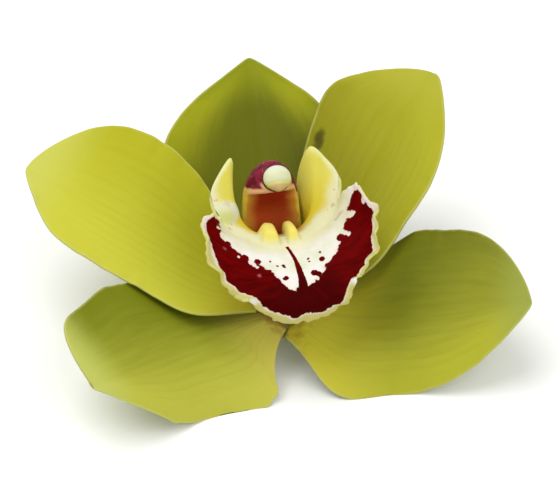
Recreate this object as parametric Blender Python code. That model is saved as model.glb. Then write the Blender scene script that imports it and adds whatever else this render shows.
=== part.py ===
"""A picked cymbidium orchid bloom that lies face up, on its sepals' lower margins and its stalk.

The constants are in millimetres and degrees. The flower's axis is +Z, the dorsal sepal
points to +Y and the lip to -Y. Points are worked out about the hub, where all the organs
meet, and are then moved to the hub's place above the table, which is at z = 0.
"""
from collections import namedtuple

import bmesh
import bpy
import numpy as np

MM = 0.001

# Steps along each curve that is summed up, and the least bend that has an arc to work out
CURVE_STEPS = 401
LEAST_CURL = 1e-4

# Where the hub stands above the table
HUB = np.array([2.0, -15.0, 8.6])

# Sepals and petals: a midrib that leaves the hub at a bearing from +Y, clockwise seen from
# above, and rises by the angles in rise. Its two half widths and the bend of its two sides
# are given at even steps from the base to the tip. A wave runs along both margins.
Tepal = namedtuple(
    "Tepal",
    "name bearing foot level length rise sweep roll"
    " width_low width_high curl_low curl_high tip wave waves heel",
)
DORSAL_SEPAL = Tepal(
    "dorsal_sepal", 4, 4.9, -0.7, 65, (10, 32, 38), (0, 1, 0), (0, 0, 0),
    (4, 14, 21.5, 25.3, 20.5, 8.6), (4, 14, 20, 20.6, 17, 7.6), (0, 20, 20), (0, 15, 20),
    (8, 0.8), 0.3, 2.5, 0,
)
PETAL_LEFT = Tepal(
    "petal_left", -60, 5.4, 1.2, 64, (18, 27, 20), (0, 0, 0), (0, 15, 10),
    (7, 17, 16.2, 16, 15.4, 8.6), (4, 12, 20, 23.6, 24.8, 20.6), (20, 22.5, 0), (10, 10, 0),
    (8, 0.7), 0.3, 2.0, 0,
)
PETAL_RIGHT = Tepal(
    "petal_right", 51, 5.4, 1.2, 64, (22, 33, 34), (0, 0, 0), (0, -10, -10),
    (4, 11, 16.5, 20.3, 22.8, 16), (7, 13.4, 13.8, 13.9, 10.8, 5), (10, 10, 0), (20, 20, 0),
    (8, 0.6), 0.5, 2.0, 0,
)
LATERAL_SEPAL_LEFT = Tepal(
    "lateral_sepal_left", -116, 4.9, -0.7, 54.5, (3, 12, 18), (0, -4, -12), (0, 20, 25),
    (6.3, 7.6, 9.6, 12.6, 16.8, 20, 19.3, 18.7, 18, 17.3, 16.6, 16.4, 15.8, 14.8, 13.2, 11.5, 9.7,
     8.1, 6.4, 5, 3.6),
    (4, 15, 20, 22.4, 21.4, 27), (0, -52, -25), (0, 0, 0), (8, 0.6), 0.3, 2.0, 0,
)
LATERAL_SEPAL_RIGHT = Tepal(
    "lateral_sepal_right", 118, 4.9, -0.7, 55.5, (2, 16, 24), (0, 0, 0), (0, -22, -25),
    (4, 15.5, 23.2, 22.6, 21.1, 16), (10.3, 20.8, 19.2, 17, 11.8, 6.4), (0, 0, 0), (0, -42, -20),
    (8, 0.7), 0.3, 2.0, 2.0,
)
TEPALS = (DORSAL_SEPAL, PETAL_LEFT, PETAL_RIGHT, LATERAL_SEPAL_LEFT, LATERAL_SEPAL_RIGHT)
TEPAL_ROWS = 25
TEPAL_COLS = 15
TEPAL_TIP_HALF_WIDTH = 0.3
TEPAL_TIP_CROWDING = 1.6
TEPAL_HEEL_LENGTH = 0.12
TEPAL_HEEL_START = (0.2, 0.8)
MARGIN_THICKNESS = 0.7
RIB_THICKNESS = 0.8
MIDRIB_GROOVE = 0.3
MIDRIB_GROOVE_WIDTH = 1.5

# Lip: outlines of its two margins and the midline that its cross lines start from, at even
# steps from the claw round the side lobe and the notch to the front of the mid lobe. Its
# walls stand out by the belly between the floor and the margin.
LIP_MARGIN_Y = (-4.6, -1.5, 4, 10.3, 14, 14.9, 13.2, 10, 5.5, 3.6, 1, -5, -11.5, -17, -19.5, -20.8, -21)
LIP_LEFT_X = (3.2, 5.8, 8.4, 9.8, 9.8, 9.4, 12.4, 15.4, 14.6, 16.2, 18.2, 19.9, 19, 15.7, 9.7, 5, 0)
LIP_LEFT_Z = (1.2, 4, 9, 18, 26.6, 34, 32, 28.2, 24.8, 27, 29.1, 27.9, 23.9, 19.6, 15.4, 12.6, 12.4)
LIP_LEFT_BELLY = (0, 0.8, 2.4, 2, 0, 0, 0, 0, 0)
LIP_RIGHT_X = (3.2, 5, 6.2, 6.5, 6.2, 9.2, 12.9, 15.2, 14.2, 15.4, 17.2, 19.6, 18.9, 14.2, 9, 4, 0)
LIP_RIGHT_Z = (1.2, 4, 9, 17, 26.2, 34.3, 31.6, 28.5, 26, 29.2, 32.2, 29.9, 24.6, 20, 14.3, 12.8, 12.4)
LIP_RIGHT_BELLY = (0, 0.6, 1.3, 0, 0, 0, 0, 0, 0)
LIP_MIDLINE_Y = (-5.4, -4.4, -2, 0.5, 2.6, 3.4, 2.8, 1, -1.2, -3.5, -5.8, -8, -10, -11.7, -13.2, -14.4, -15.3)
LIP_MIDLINE_Z = (1, 5, 9.5, 13, 16, 17.6, 18.7, 19.3, 19.5, 19.6, 19.6, 19.5, 19.3, 19.1, 18.9, 18.7, 18.6)
LIP_FLOOR = (1.5, 3, 4.5, 6.2, 7.4, 7.8, 8, 8, 7.6, 7.2, 7, 7, 6.5, 6, 5, 4, 3)
LIP_FAN = (0, 0, 0, 0, 0, 0, 0, 0, 0, 0, 5, 15, 30, 45, 65, 82, 90)
LIP_WALL_START = 0.45
LIP_FRONT_OVERHANG = 4.5
LIP_LINES = 39
LIP_COLS = 14
LIP_COLS_CROWDING = 1.5
LIP_MARGIN_THICKNESS = 0.8
LIP_BASE_THICKNESS = 1.2
LIP_FRILL = 0.7
LIP_FRILL_LENGTH = 9
LIP_FRILL_START = (0.5, 0.62)
LIP_FRILL_END = (0.82, 0.93)
LIP_FRILL_DEPTH = 5
LIP_FRILL_PHASES = (0.6, 2.1)
LIP_FRILL_SECOND_SIZE = 0.5
LIP_FRILL_SECOND_PACE = 1.7
KEEL_HEIGHT = 2.7
KEEL_PLACES = (-3.7, 1.95)
KEEL_HALF_WIDTHS = (2.4, 1.7)
KEEL_BLUNTNESS = 4
KEEL_START = (0.15, 0.32)
KEEL_END = (0.47, 0.56)
FOLD_CENTRE = np.array([-12.4, 7.0, 24.4])
FOLD_HEIGHT = 1.1
FOLD_RADIUS = 3.8

# Column: an arched half-round body, hollow below, with a rounded hood over its tip
COLUMN_LENGTH = 38
COLUMN_BASE_LEVEL = -1.4
COLUMN_LEAN = (0, 28, 30, 24, 14, 4, 0)
COLUMN_BOW = (0, -0.3, -0.7, -1.1, -1.2, -1.1, -1)
COLUMN_HALF_WIDTH = (4.2, 4.9, 6.2, 7, 6.9, 6.3, 6)
COLUMN_BACK = (4.2, 4.2, 4.2, 4.3, 4.4, 4.5, 4.5)
COLUMN_FRONT = (4.2, 3.2, 2.4, 1.8, 1.8, 3.2, 4)
COLUMN_LEDGE = 1.3
COLUMN_LEDGE_PLACE = 0.815
COLUMN_LEDGE_RISE = 0.045
COLUMN_LEDGE_WIDTH = 0.03
COLUMN_FRONT_FULLNESS = 0.8
COLUMN_HOLLOW = (0, 0.6, 1.4, 1.8, 1.8, 0.2, 0)
COLUMN_HOLLOW_NARROWNESS = 4
COLUMN_DOME_START = 0.77
COLUMN_RINGS = 30
COLUMN_TIP_CROWDING = 1.5
COLUMN_SIDES = 28

# Anther cap, the pollinia beneath it and the recess of the column's tip that holds both
CAP_CENTRE = np.array([-0.05, 7.9, 31.9])
CAP_FACING = 50
CAP_SEMI = np.array([3.2, 2.9, 2.1])
CAP_BEAK = 0.1
CAP_BEAK_LEVEL = -0.9
CAP_BEAK_WIDTH = 0.3
CAP_GROOVE = 0.08
CAP_GROOVE_WIDTH = 0.16
CAP_RINGS = 14
CAP_SIDES = 22
RECESS_SEMI = np.array([3.55, 3.25, 3.9])
RECESS_DEPTH = 0.5
RECESS_RINGS = 14
RECESS_SIDES = 24
DISC_PLACE = (0, -0.9, -3.05)
DISC_SEMI = np.array([1.5, 0.4, 0.45])
DISC_RINGS = 8
DISC_SIDES = 18
POLLINIUM_SEMI = np.array([0.8, 0.85, 0.5])
POLLINIUM_PLACES = ((-0.9, 0, -3.05), (0.9, 0, -3.05))
POLLINIUM_RINGS = 8
POLLINIUM_SIDES = 12

# Stalk: a receptacle under the hub, and the six-ribbed ovary and cut stalk that leave it
RECEPTACLE_LEVEL = (-2.1, -2.6, -3.4, -4.3, -5.5, -6.6, -7.3)
RECEPTACLE_RADIUS = (6.3, 6.5, 5.6, 4.4, 3.4, 2.3, 1)
RECEPTACLE_SIDES = 30
RECEPTACLE_FOOT = 1.5
STALK_START = np.array([0.0, -1.2, -4.8])
STALK_LENGTH = 35
STALK_DROP = (0, 2, 4, 4, 1)
STALK_SWAY = (0, 0, 5, 8, 4)
STALK_RADIUS = (2.6, 2.9, 3, 2.9, 2.7, 2.4, 2.4)
STALK_RIB = 0.07
STALK_RIB_FADE = 0.6
STALK_RIBS = 6
STALK_RINGS = 22
STALK_SIDES = 30


def remove_everything():
    for item in list(bpy.data.objects):
        bpy.data.objects.remove(item, do_unlink=True)


def smooth_through(values, u):
    """Smooth curve through values given at even steps of u from 0 to 1."""
    values = np.asarray(values, float)
    last = len(values) - 1
    place = np.clip(u, 0.0, 1.0) * last
    index = np.minimum(place.astype(int), last - 1)
    f = place - index
    ends = (2 * values[0] - values[1], 2 * values[-1] - values[-2])
    padded = np.concatenate([[ends[0]], values, [ends[1]]])
    a, b, c, d = (padded[index + k] for k in range(4))
    bend = (2 * a - 5 * b + 4 * c - d) * f**2 + (3 * b - a - 3 * c + d) * f**3
    return 0.5 * (2 * b + (c - a) * f + bend)


def rise_between(low, high, values):
    f = np.clip((values - low) / (high - low), 0.0, 1.0)
    return f * f * (3 - 2 * f)


def unit(vectors):
    return vectors / np.linalg.norm(vectors, axis=-1, keepdims=True)


def swept_line(start, length, directions):
    """Points along a line that leaves its start and follows evenly spaced directions."""
    steps = (directions[1:] + directions[:-1]) / 2 * length / (len(directions) - 1)
    return start + np.concatenate([np.zeros((1, 3)), np.cumsum(steps, 0)])


def midrib(tepal, u):
    """Points of the midrib at u, with the directions along it, to its side and off its face."""
    fine = np.linspace(0, 1, CURVE_STEPS)
    lift = np.radians(smooth_through(tepal.rise, fine))
    turn = np.radians(tepal.bearing + smooth_through(tepal.sweep, fine))
    along = np.stack([np.cos(lift) * np.sin(turn), np.cos(lift) * np.cos(turn), np.sin(lift)], 1)
    bearing = np.radians(tepal.bearing)
    start = np.array([np.sin(bearing) * tepal.foot, np.cos(bearing) * tepal.foot, tepal.level])
    line = swept_line(start, tepal.length, along)
    side = np.stack([np.cos(turn), -np.sin(turn), np.zeros_like(turn)], 1)
    face = np.cross(side, along)
    roll = np.radians(smooth_through(tepal.roll, fine))[:, None]
    side = np.cos(roll) * side + np.sin(roll) * face
    face = np.cross(side, along)
    found = []
    for values in (line, along, side, face):
        found.append(np.stack([np.interp(u, fine, values[:, k]) for k in range(3)], 1))
    return found


def heel_reach(tepal, u, v):
    """How far the blade's base reaches back on its higher side, fading out along the blade."""
    fade = np.clip(1 - u / TEPAL_HEEL_LENGTH, 0.0, 1.0) ** 2
    return tepal.heel * rise_between(*TEPAL_HEEL_START, v)[None, :] * fade[:, None]


def tepal_sheet(tepal, rows, cols):
    """Middle surface of a sepal or petal, as a grid of points from base to tip."""
    u = 1 - (1 - np.linspace(0, 1, rows)) ** TEPAL_TIP_CROWDING
    v = np.linspace(-1, 1, cols)
    line, along, side, face = midrib(tepal, u)
    blunt, soft = tepal.tip
    narrowing = (1 - u**blunt) ** soft
    heel = heel_reach(tepal, u, v)
    sheet = np.zeros((rows, cols, 3))
    halves = (
        (-1, v < 0, tepal.width_low, tepal.curl_low),
        (1, v >= 0, tepal.width_high, tepal.curl_high),
    )
    for sign, chosen, widths, curls in halves:
        half_width = smooth_through(widths, u) * narrowing + TEPAL_TIP_HALF_WIDTH
        reach = np.abs(v[chosen])[None, :]
        across = reach * half_width[:, None]
        curl = np.radians(smooth_through(curls, u))[:, None] * reach
        curl = np.where(np.abs(curl) < LEAST_CURL, LEAST_CURL, curl)
        out = across * np.sin(curl) / curl
        up = across * (1 - np.cos(curl)) / curl
        ripple = np.sin(2 * np.pi * tepal.waves * u + sign) * np.sin(np.pi * u) ** 2
        up = up + tepal.wave * ripple[:, None] * reach**3
        up = up - MIDRIB_GROOVE * np.exp(-((across / MIDRIB_GROOVE_WIDTH) ** 2))
        offset = sign * out[..., None] * side[:, None] + up[..., None] * face[:, None]
        sheet[:, chosen] = line[:, None] + offset - heel[:, chosen, None] * along[:, None]
    thickness = MARGIN_THICKNESS + RIB_THICKNESS * (1 - v**2)[None, :] * (1 - u)[:, None]
    return sheet, thickness


def sheet_normals(sheet, folded):
    down = np.gradient(sheet, axis=0)
    across = np.gradient(sheet, axis=1)
    normals = np.cross(across, down)
    if folded:
        turn = len(sheet) // 2
        normals[:, 0] = normals[:, 0] + normals[::-1, 0]
        normals[turn, 0] = normals[turn, 1]
    return unit(normals)


def closed_sheet(sheet, thickness, ridge=0.0, folded=False):
    """Vertices and triangles of a thin closed body about a sheet, cut alike on both faces.

    A folded sheet has its first column laid against itself, row for row from both ends.
    """
    rows, cols = sheet.shape[:2]
    normals = sheet_normals(sheet, folded)
    front = (sheet + normals * (thickness / 2 + ridge)[..., None]).reshape(-1, 3)
    back = (sheet - normals * (thickness / 2)[..., None]).reshape(-1, 3)
    count = rows * cols

    def spot(i, j):
        if folded and j == 0:
            i = min(i, rows - 1 - i)
        return i * cols + j

    faces = []
    for i in range(rows - 1):
        for j in range(cols - 1):
            a, b, c, d = spot(i, j), spot(i, j + 1), spot(i + 1, j + 1), spot(i + 1, j)
            faces += [(a, d, b), (b, d, c)]
            faces += [(a + count, b + count, d + count), (b + count, c + count, d + count)]
    rim = [spot(0, j) for j in range(cols)]
    rim += [spot(i, cols - 1) for i in range(1, rows)]
    rim += [spot(rows - 1, j) for j in range(cols - 2, 0, -1)]
    if not folded:
        rim += [spot(i, 0) for i in range(rows - 1, 0, -1)]
    for a, b in zip(rim, rim[1:] + rim[:1]):
        faces += [(a, b, b + count), (a, b + count, a + count)]
    return drop_unused(np.concatenate([front, back]), faces)


def drop_unused(points, faces):
    used = sorted({index for face in faces for index in face})
    fresh = {index: place for place, index in enumerate(used)}
    return points[used], [tuple(fresh[index] for index in face) for face in faces]


def placed(points):
    """Move points from the hub's frame to the table's, flattened where they press on it."""
    moved = points + HUB
    moved[:, 2] = np.maximum(moved[:, 2], 0.0)
    return moved


def placed_shape(shape):
    points, faces = shape
    return placed(points), faces


def add_body(name, points, faces, material):
    mesh = bpy.data.meshes.new(name)
    mesh.from_pydata([tuple(p * MM) for p in points], [], faces)
    mesh.update()
    body = bpy.data.objects.new(name, mesh)
    bpy.context.collection.objects.link(body)
    face_outward(body)
    for polygon in mesh.polygons:
        polygon.use_smooth = True
    mesh.materials.append(material)
    return body


def face_outward(body):
    edit = bmesh.new()
    edit.from_mesh(body.data)
    bmesh.ops.recalc_face_normals(edit, faces=edit.faces)
    if edit.calc_volume(signed=True) < 0:
        bmesh.ops.reverse_faces(edit, faces=edit.faces)
    edit.to_mesh(body.data)
    edit.free()


def plain_material(name, colour, roughness):
    material = bpy.data.materials.new(name)
    material.use_nodes = True
    shader = material.node_tree.nodes["Principled BSDF"]
    shader.inputs["Base Color"].default_value = (*colour, 1.0)
    shader.inputs["Roughness"].default_value = roughness
    shader.inputs["Metallic"].default_value = 0.0
    material.diffuse_color = (*colour, 1.0)
    return material


def tepal_body(tepal, material):
    sheet, thickness = tepal_sheet(tepal, TEPAL_ROWS, TEPAL_COLS)
    shape = closed_sheet(sheet, thickness)
    return add_body(tepal.name, *placed_shape(shape), material)


def lip_half(sign, margin_x, margin_z, belly, q, t):
    """Cross lines of one half of the lip, from its midline at t = 0 to its margin at t = 1."""
    margin = np.stack(
        [
            sign * smooth_through(margin_x, q),
            smooth_through(LIP_MARGIN_Y, q),
            smooth_through(margin_z, q),
        ],
        1,
    )
    middle = np.stack(
        [np.zeros_like(q), smooth_through(LIP_MIDLINE_Y, q), smooth_through(LIP_MIDLINE_Z, q)], 1
    )
    fan = np.radians(smooth_through(LIP_FAN, q))
    floor = smooth_through(LIP_FLOOR, q)[:, None]
    outward = np.stack([sign * np.cos(fan), -np.sin(fan), np.zeros_like(q)], 1)
    belly = smooth_through(belly, q)
    first = middle + outward * (floor + belly[:, None])
    second = np.stack(
        [
            margin[:, 0] + sign * belly,
            middle[:, 1] + (margin[:, 1] - middle[:, 1]) * LIP_WALL_START,
            middle[:, 2] + (margin[:, 2] - middle[:, 2]) * LIP_WALL_START,
        ],
        1,
    )
    front = np.sin(fan)[:, None] ** 2
    ahead = middle + outward * (floor + LIP_FRONT_OVERHANG)
    second = second * (1 - front) + ahead * front
    t = t[None, :, None]
    return (
        middle[:, None] * (1 - t) ** 3
        + first[:, None] * 3 * t * (1 - t) ** 2
        + second[:, None] * 3 * t**2 * (1 - t)
        + margin[:, None] * t**3
    )


def lip_sheet(lines, cols):
    """Middle surface of the lip: cross lines from the claw's left side round to its right side."""
    q = np.linspace(0, 1, lines)
    t = np.linspace(0, 1, cols) ** LIP_COLS_CROWDING
    left = lip_half(-1, LIP_LEFT_X, LIP_LEFT_Z, LIP_LEFT_BELLY, q, t)
    right = lip_half(1, LIP_RIGHT_X, LIP_RIGHT_Z, LIP_RIGHT_BELLY, q, t)
    sheet = np.concatenate([left, right[-2::-1]], 0)
    place = np.concatenate([q, q[-2::-1]])
    return sheet, place, t


def frilled(sheet, place, t):
    """Sheet with the waves of the mid lobe's margin."""
    margin = sheet[:, -1]
    steps = np.linalg.norm(np.diff(margin, axis=0), axis=1)
    run = np.concatenate([[0.0], np.cumsum(steps)])
    run = run - run[-1] / 2
    turns = 2 * np.pi * run / LIP_FRILL_LENGTH
    first, second = LIP_FRILL_PHASES
    wave = np.sin(turns + first)
    wave = wave + LIP_FRILL_SECOND_SIZE * np.sin(LIP_FRILL_SECOND_PACE * turns + second)
    window = rise_between(*LIP_FRILL_START, place) * (1 - rise_between(*LIP_FRILL_END, place))
    height = LIP_FRILL * wave * window
    normals = sheet_normals(sheet, True)
    return sheet + normals * (height[:, None] * t[None, :] ** LIP_FRILL_DEPTH)[..., None]


def keel_height(sheet, place):
    """Height of the two keels that run along the lip's floor and end bluntly on its disc."""
    steps = np.linalg.norm(np.diff(sheet, axis=1), axis=2)
    aside = np.concatenate([np.zeros((len(sheet), 1)), np.cumsum(steps, 1)], 1)
    aside[: len(sheet) // 2] *= -1
    profile = np.zeros_like(aside)
    for middle, half_width in zip(KEEL_PLACES, KEEL_HALF_WIDTHS):
        away = np.abs(aside - middle) / half_width
        profile = np.maximum(profile, 1 - away**KEEL_BLUNTNESS)
    window = rise_between(*KEEL_START, place) * (1 - rise_between(*KEEL_END, place))
    return KEEL_HEIGHT * profile * window[:, None]


def fold_height(sheet):
    """Height of the fold at the foot of the left side lobe."""
    away = np.linalg.norm(sheet - FOLD_CENTRE, axis=2) / FOLD_RADIUS
    return FOLD_HEIGHT * np.clip(1 - away**2, 0.0, 1.0) ** 2


def lip_body(material):
    sheet, place, t = lip_sheet(LIP_LINES, LIP_COLS)
    sheet = frilled(sheet, place, t)
    deep = (1 - t[None, :]) * (1 - place[:, None])
    thickness = LIP_MARGIN_THICKNESS + (LIP_BASE_THICKNESS - LIP_MARGIN_THICKNESS) * deep
    ridge = keel_height(sheet, place) + fold_height(sheet)
    shape = closed_sheet(sheet, thickness, ridge, folded=True)
    return add_body("lip", *placed_shape(shape), material)


def column_rings(rings, sides):
    """Outline rings of the column from its base to just below the pole of its dome."""
    fine = np.linspace(0, 1, CURVE_STEPS)
    lean = np.radians(smooth_through(COLUMN_LEAN, fine))
    along = np.stack([np.zeros_like(lean), np.sin(lean), np.cos(lean)], 1)
    line = swept_line(np.array([0, 0, COLUMN_BASE_LEVEL]), COLUMN_LENGTH, along)
    u = 1 - (1 - np.linspace(0, 1, rings)) ** COLUMN_TIP_CROWDING
    centre = np.stack([np.interp(u, fine, line[:, k]) for k in range(3)], 1)
    centre[:, 0] = smooth_through(COLUMN_BOW, u)
    lean = np.interp(u, fine, lean)
    dorsal = np.stack([np.zeros_like(u), np.cos(lean), -np.sin(lean)], 1)
    dome = np.clip((u - COLUMN_DOME_START) / (1 - COLUMN_DOME_START), 0, 1)
    scale = np.sqrt(1 - dome**2)
    angle = np.linspace(0, 2 * np.pi, sides, endpoint=False)
    across = np.sin(angle)
    half_width = smooth_through(COLUMN_HALF_WIDTH, u)
    upper = np.clip(np.cos(angle), 0, 1)
    lower = np.clip(-np.cos(angle), 0, 1)
    back = smooth_through(COLUMN_BACK, u)[:, None] * upper
    above_ledge = u[:, None] - COLUMN_LEDGE_PLACE - COLUMN_LEDGE_RISE * lower
    ledge = COLUMN_LEDGE * np.exp(-((above_ledge / COLUMN_LEDGE_WIDTH) ** 2))
    front = (smooth_through(COLUMN_FRONT, u)[:, None] + ledge) * lower**COLUMN_FRONT_FULLNESS
    hollow = smooth_through(COLUMN_HOLLOW, u)[:, None] * lower**COLUMN_HOLLOW_NARROWNESS
    depth = (back - front + hollow) * scale[:, None]
    width = half_width[:, None] * across * scale[:, None]
    points = centre[:, None] + depth[..., None] * dorsal[:, None]
    points[..., 0] += width
    return points, centre


def closed_rings(rings, first, last):
    """Vertices and faces of a body through rings of points, closed by a point at each end."""
    count, sides = rings.shape[:2]
    points = np.concatenate([rings.reshape(-1, 3), [first], [last]])
    faces = []
    for i in range(count - 1):
        for j in range(sides):
            k = (j + 1) % sides
            a, b, c, d = i * sides + j, i * sides + k, (i + 1) * sides + k, (i + 1) * sides + j
            faces += [(a, b, c), (a, c, d)]
    for j in range(sides):
        k = (j + 1) % sides
        faces.append((k, j, count * sides))
        faces.append(((count - 1) * sides + j, (count - 1) * sides + k, count * sides + 1))
    return points, faces


def column_body(material):
    rings, centre = column_rings(COLUMN_RINGS, COLUMN_SIDES)
    shape = closed_rings(rings[:-1], centre[0], rings[-1, 0])
    body = add_body("column", *placed_shape(shape), material)
    carve(body, recess_shape())
    return body


def cap_axes():
    """Directions across the cap, up its face, and out of its face."""
    lift = np.radians(CAP_FACING)
    return np.array(
        [[1, 0, 0], [0, np.sin(lift), np.cos(lift)], [0, -np.cos(lift), np.sin(lift)]], float
    )


def egg(centre, semi, rings, sides, form=None):
    """Rings of an egg with its pole along the cap's facing direction."""
    polar = np.linspace(0, np.pi, rings + 2)[:, None]
    around = np.linspace(0, 2 * np.pi, sides, endpoint=False)[None, :]
    x = np.sin(polar) * np.cos(around)
    y = np.sin(polar) * np.sin(around)
    z = np.cos(polar) + 0 * around
    local = np.stack([x, y, z], -1)
    if form is not None:
        local = local * form(x, y, z)[..., None]
    skin = centre + (local * semi) @ cap_axes()
    return closed_rings(skin[1:-1], skin[0, 0], skin[-1, 0])


def recess_shape():
    facing = cap_axes()[2]
    return egg(CAP_CENTRE - RECESS_DEPTH * facing, RECESS_SEMI, RECESS_RINGS, RECESS_SIDES)


def carve(body, shape):
    tool = add_body("recess", *placed_shape(shape), body.data.materials[0])
    apply_boolean(body, tool, "DIFFERENCE")


def apply_boolean(body, tool, operation):
    modifier = body.modifiers.new("cut", "BOOLEAN")
    modifier.operation = operation
    modifier.solver = "EXACT"
    modifier.object = tool
    bpy.context.view_layer.objects.active = body
    bpy.ops.object.modifier_apply(modifier=modifier.name)
    bpy.data.objects.remove(tool, do_unlink=True)


def cap_form(x, y, z):
    """How far the cap's skin stands out: a groove down its middle and a beak below."""
    groove = CAP_GROOVE * np.exp(-((x / CAP_GROOVE_WIDTH) ** 2)) * np.clip(z, 0, 1)
    aside = (x / CAP_BEAK_WIDTH) ** 2
    away = ((y - CAP_BEAK_LEVEL) / CAP_BEAK_WIDTH) ** 2
    return 1 - groove + CAP_BEAK * np.exp(-aside - away)


def cap_body(material):
    shape = egg(CAP_CENTRE, CAP_SEMI, CAP_RINGS, CAP_SIDES, cap_form)
    return add_body("anther_cap", *placed_shape(shape), material)


def pollinarium_body(material):
    disc = CAP_CENTRE + DISC_PLACE @ cap_axes()
    shape = egg(disc, DISC_SEMI, DISC_RINGS, DISC_SIDES)
    body = add_body("pollinarium", *placed_shape(shape), material)
    for place in POLLINIUM_PLACES:
        centre = CAP_CENTRE + place @ cap_axes()
        shape = egg(centre, POLLINIUM_SEMI, POLLINIUM_RINGS, POLLINIUM_SIDES)
        tool = add_body("pollinium", *placed_shape(shape), material)
        apply_boolean(body, tool, "UNION")
    return body


def receptacle_shape():
    around = np.linspace(0, 2 * np.pi, RECEPTACLE_SIDES, endpoint=False)
    rings = []
    for level, radius in zip(RECEPTACLE_LEVEL, RECEPTACLE_RADIUS):
        x = radius * np.cos(around)
        y = radius * np.sin(around)
        y = np.where(y < 0, y * RECEPTACLE_FOOT, y)
        rings.append(np.stack([x, y, np.full_like(around, level)], 1))
    top = np.array([0, 0, RECEPTACLE_LEVEL[0]])
    bottom = np.array([0, 0, RECEPTACLE_LEVEL[-1]])
    return closed_rings(np.stack(rings), top, bottom)


def ribbed_stalk_shape():
    u = np.linspace(0, 1, STALK_RINGS)
    drop = np.radians(smooth_through(STALK_DROP, u))
    sway = np.radians(smooth_through(STALK_SWAY, u))
    along = np.stack([np.cos(drop) * np.sin(sway), np.cos(drop) * np.cos(sway), -np.sin(drop)], 1)
    centre = swept_line(STALK_START, STALK_LENGTH, along)
    side = unit(np.cross(along, [0, 0, 1]))
    upper = np.cross(side, along)
    around = np.linspace(0, 2 * np.pi, STALK_SIDES, endpoint=False)
    ribs = 1 - STALK_RIB * np.cos(STALK_RIBS * around)[None, :] * (1 - STALK_RIB_FADE * u)[:, None]
    radius = smooth_through(STALK_RADIUS, u)[:, None] * ribs
    rings = centre[:, None] + (radius * np.cos(around))[..., None] * side[:, None]
    rings = rings + (radius * np.sin(around))[..., None] * upper[:, None]
    return closed_rings(rings, centre[0], centre[-1])


def stalk_body(material):
    body = add_body("stalk", *placed_shape(receptacle_shape()), material)
    tool = add_body("stalk_run", *placed_shape(ribbed_stalk_shape()), material)
    apply_boolean(body, tool, "UNION")
    return body


def tepal_green():
    return plain_material("tepal_green", (0.42, 0.44, 0.05), 0.5)


def lip_cream():
    return plain_material("lip_cream", (0.72, 0.62, 0.42), 0.45)


def column_red():
    return plain_material("column_red", (0.40, 0.08, 0.05), 0.45)


def cap_cream():
    return plain_material("cap_cream", (0.80, 0.78, 0.60), 0.4)


def pollen_yellow():
    return plain_material("pollen_yellow", (0.78, 0.55, 0.10), 0.35)


def stalk_green():
    return plain_material("stalk_green", (0.30, 0.36, 0.08), 0.5)


def main():
    remove_everything()
    green = tepal_green()
    for tepal in TEPALS:
        tepal_body(tepal, green)
    lip_body(lip_cream())
    column_body(column_red())
    cap_body(cap_cream())
    pollinarium_body(pollen_yellow())
    stalk_body(stalk_green())


main()
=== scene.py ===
"""The looks of a picked cymbidium bloom: fine petals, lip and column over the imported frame.

Forms are in millimetres and degrees about the hub, where all the organs meet, as in the part's
own source. The flower's axis is +Z, the dorsal sepal points to +Y and the lip to -Y. Each
organ carries fields, such as the distance from its margin, that its material paints by.
"""
from collections import namedtuple

import bmesh
import bpy
import numpy as np
from mathutils import Matrix, Vector

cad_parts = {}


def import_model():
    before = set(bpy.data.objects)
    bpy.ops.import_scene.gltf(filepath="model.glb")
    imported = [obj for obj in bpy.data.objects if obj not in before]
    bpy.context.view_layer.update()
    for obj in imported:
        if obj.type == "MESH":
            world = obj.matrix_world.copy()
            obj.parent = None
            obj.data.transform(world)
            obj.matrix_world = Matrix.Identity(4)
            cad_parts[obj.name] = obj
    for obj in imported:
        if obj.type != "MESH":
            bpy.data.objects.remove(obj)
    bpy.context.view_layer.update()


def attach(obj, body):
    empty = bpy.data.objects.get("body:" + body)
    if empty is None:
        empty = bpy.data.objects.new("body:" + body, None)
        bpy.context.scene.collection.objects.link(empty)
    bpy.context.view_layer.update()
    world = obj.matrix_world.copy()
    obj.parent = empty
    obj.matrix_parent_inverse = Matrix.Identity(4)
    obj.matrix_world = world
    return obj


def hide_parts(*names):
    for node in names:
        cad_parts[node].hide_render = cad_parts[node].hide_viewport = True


MM = 0.001
CURVE_STEPS = 401
LEAST_CURL = 1e-4

# Where the hub stands above the table
HUB = np.array([2.0, -15.0, 8.6])

# Sepals and petals: bearing clockwise from +Y seen from above, rise of the midrib, half
# widths and bend of the two sides at even steps from the base to the tip
Tepal = namedtuple(
    "Tepal",
    "name bearing foot level length rise sweep roll"
    " width_low width_high curl_low curl_high tip wave waves heel",
)
DORSAL_SEPAL = Tepal(
    "dorsal_sepal", 4, 4.9, -0.7, 65, (10, 32, 38), (0, 1, 0), (0, 0, 0),
    (4, 14, 21.5, 25.3, 20.5, 8.6), (4, 14, 20, 20.6, 17, 7.6), (0, 20, 20), (0, 15, 20),
    (8, 0.8), 0.3, 2.5, 0,
)
PETAL_LEFT = Tepal(
    "petal_left", -60, 5.4, 1.2, 64, (18, 27, 20), (0, 0, 0), (0, 15, 10),
    (7, 17, 16.2, 16, 15.4, 8.6), (4, 12, 20, 23.6, 24.8, 20.6), (20, 22.5, 0), (10, 10, 0),
    (8, 0.7), 0.3, 2.0, 0,
)
PETAL_RIGHT = Tepal(
    "petal_right", 51, 5.4, 1.2, 64, (22, 33, 34), (0, 0, 0), (0, -10, -10),
    (4, 11, 16.5, 20.3, 22.8, 16), (7, 13.4, 13.8, 13.9, 10.8, 5), (10, 10, 0), (20, 20, 0),
    (8, 0.6), 0.5, 2.0, 0,
)
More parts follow.
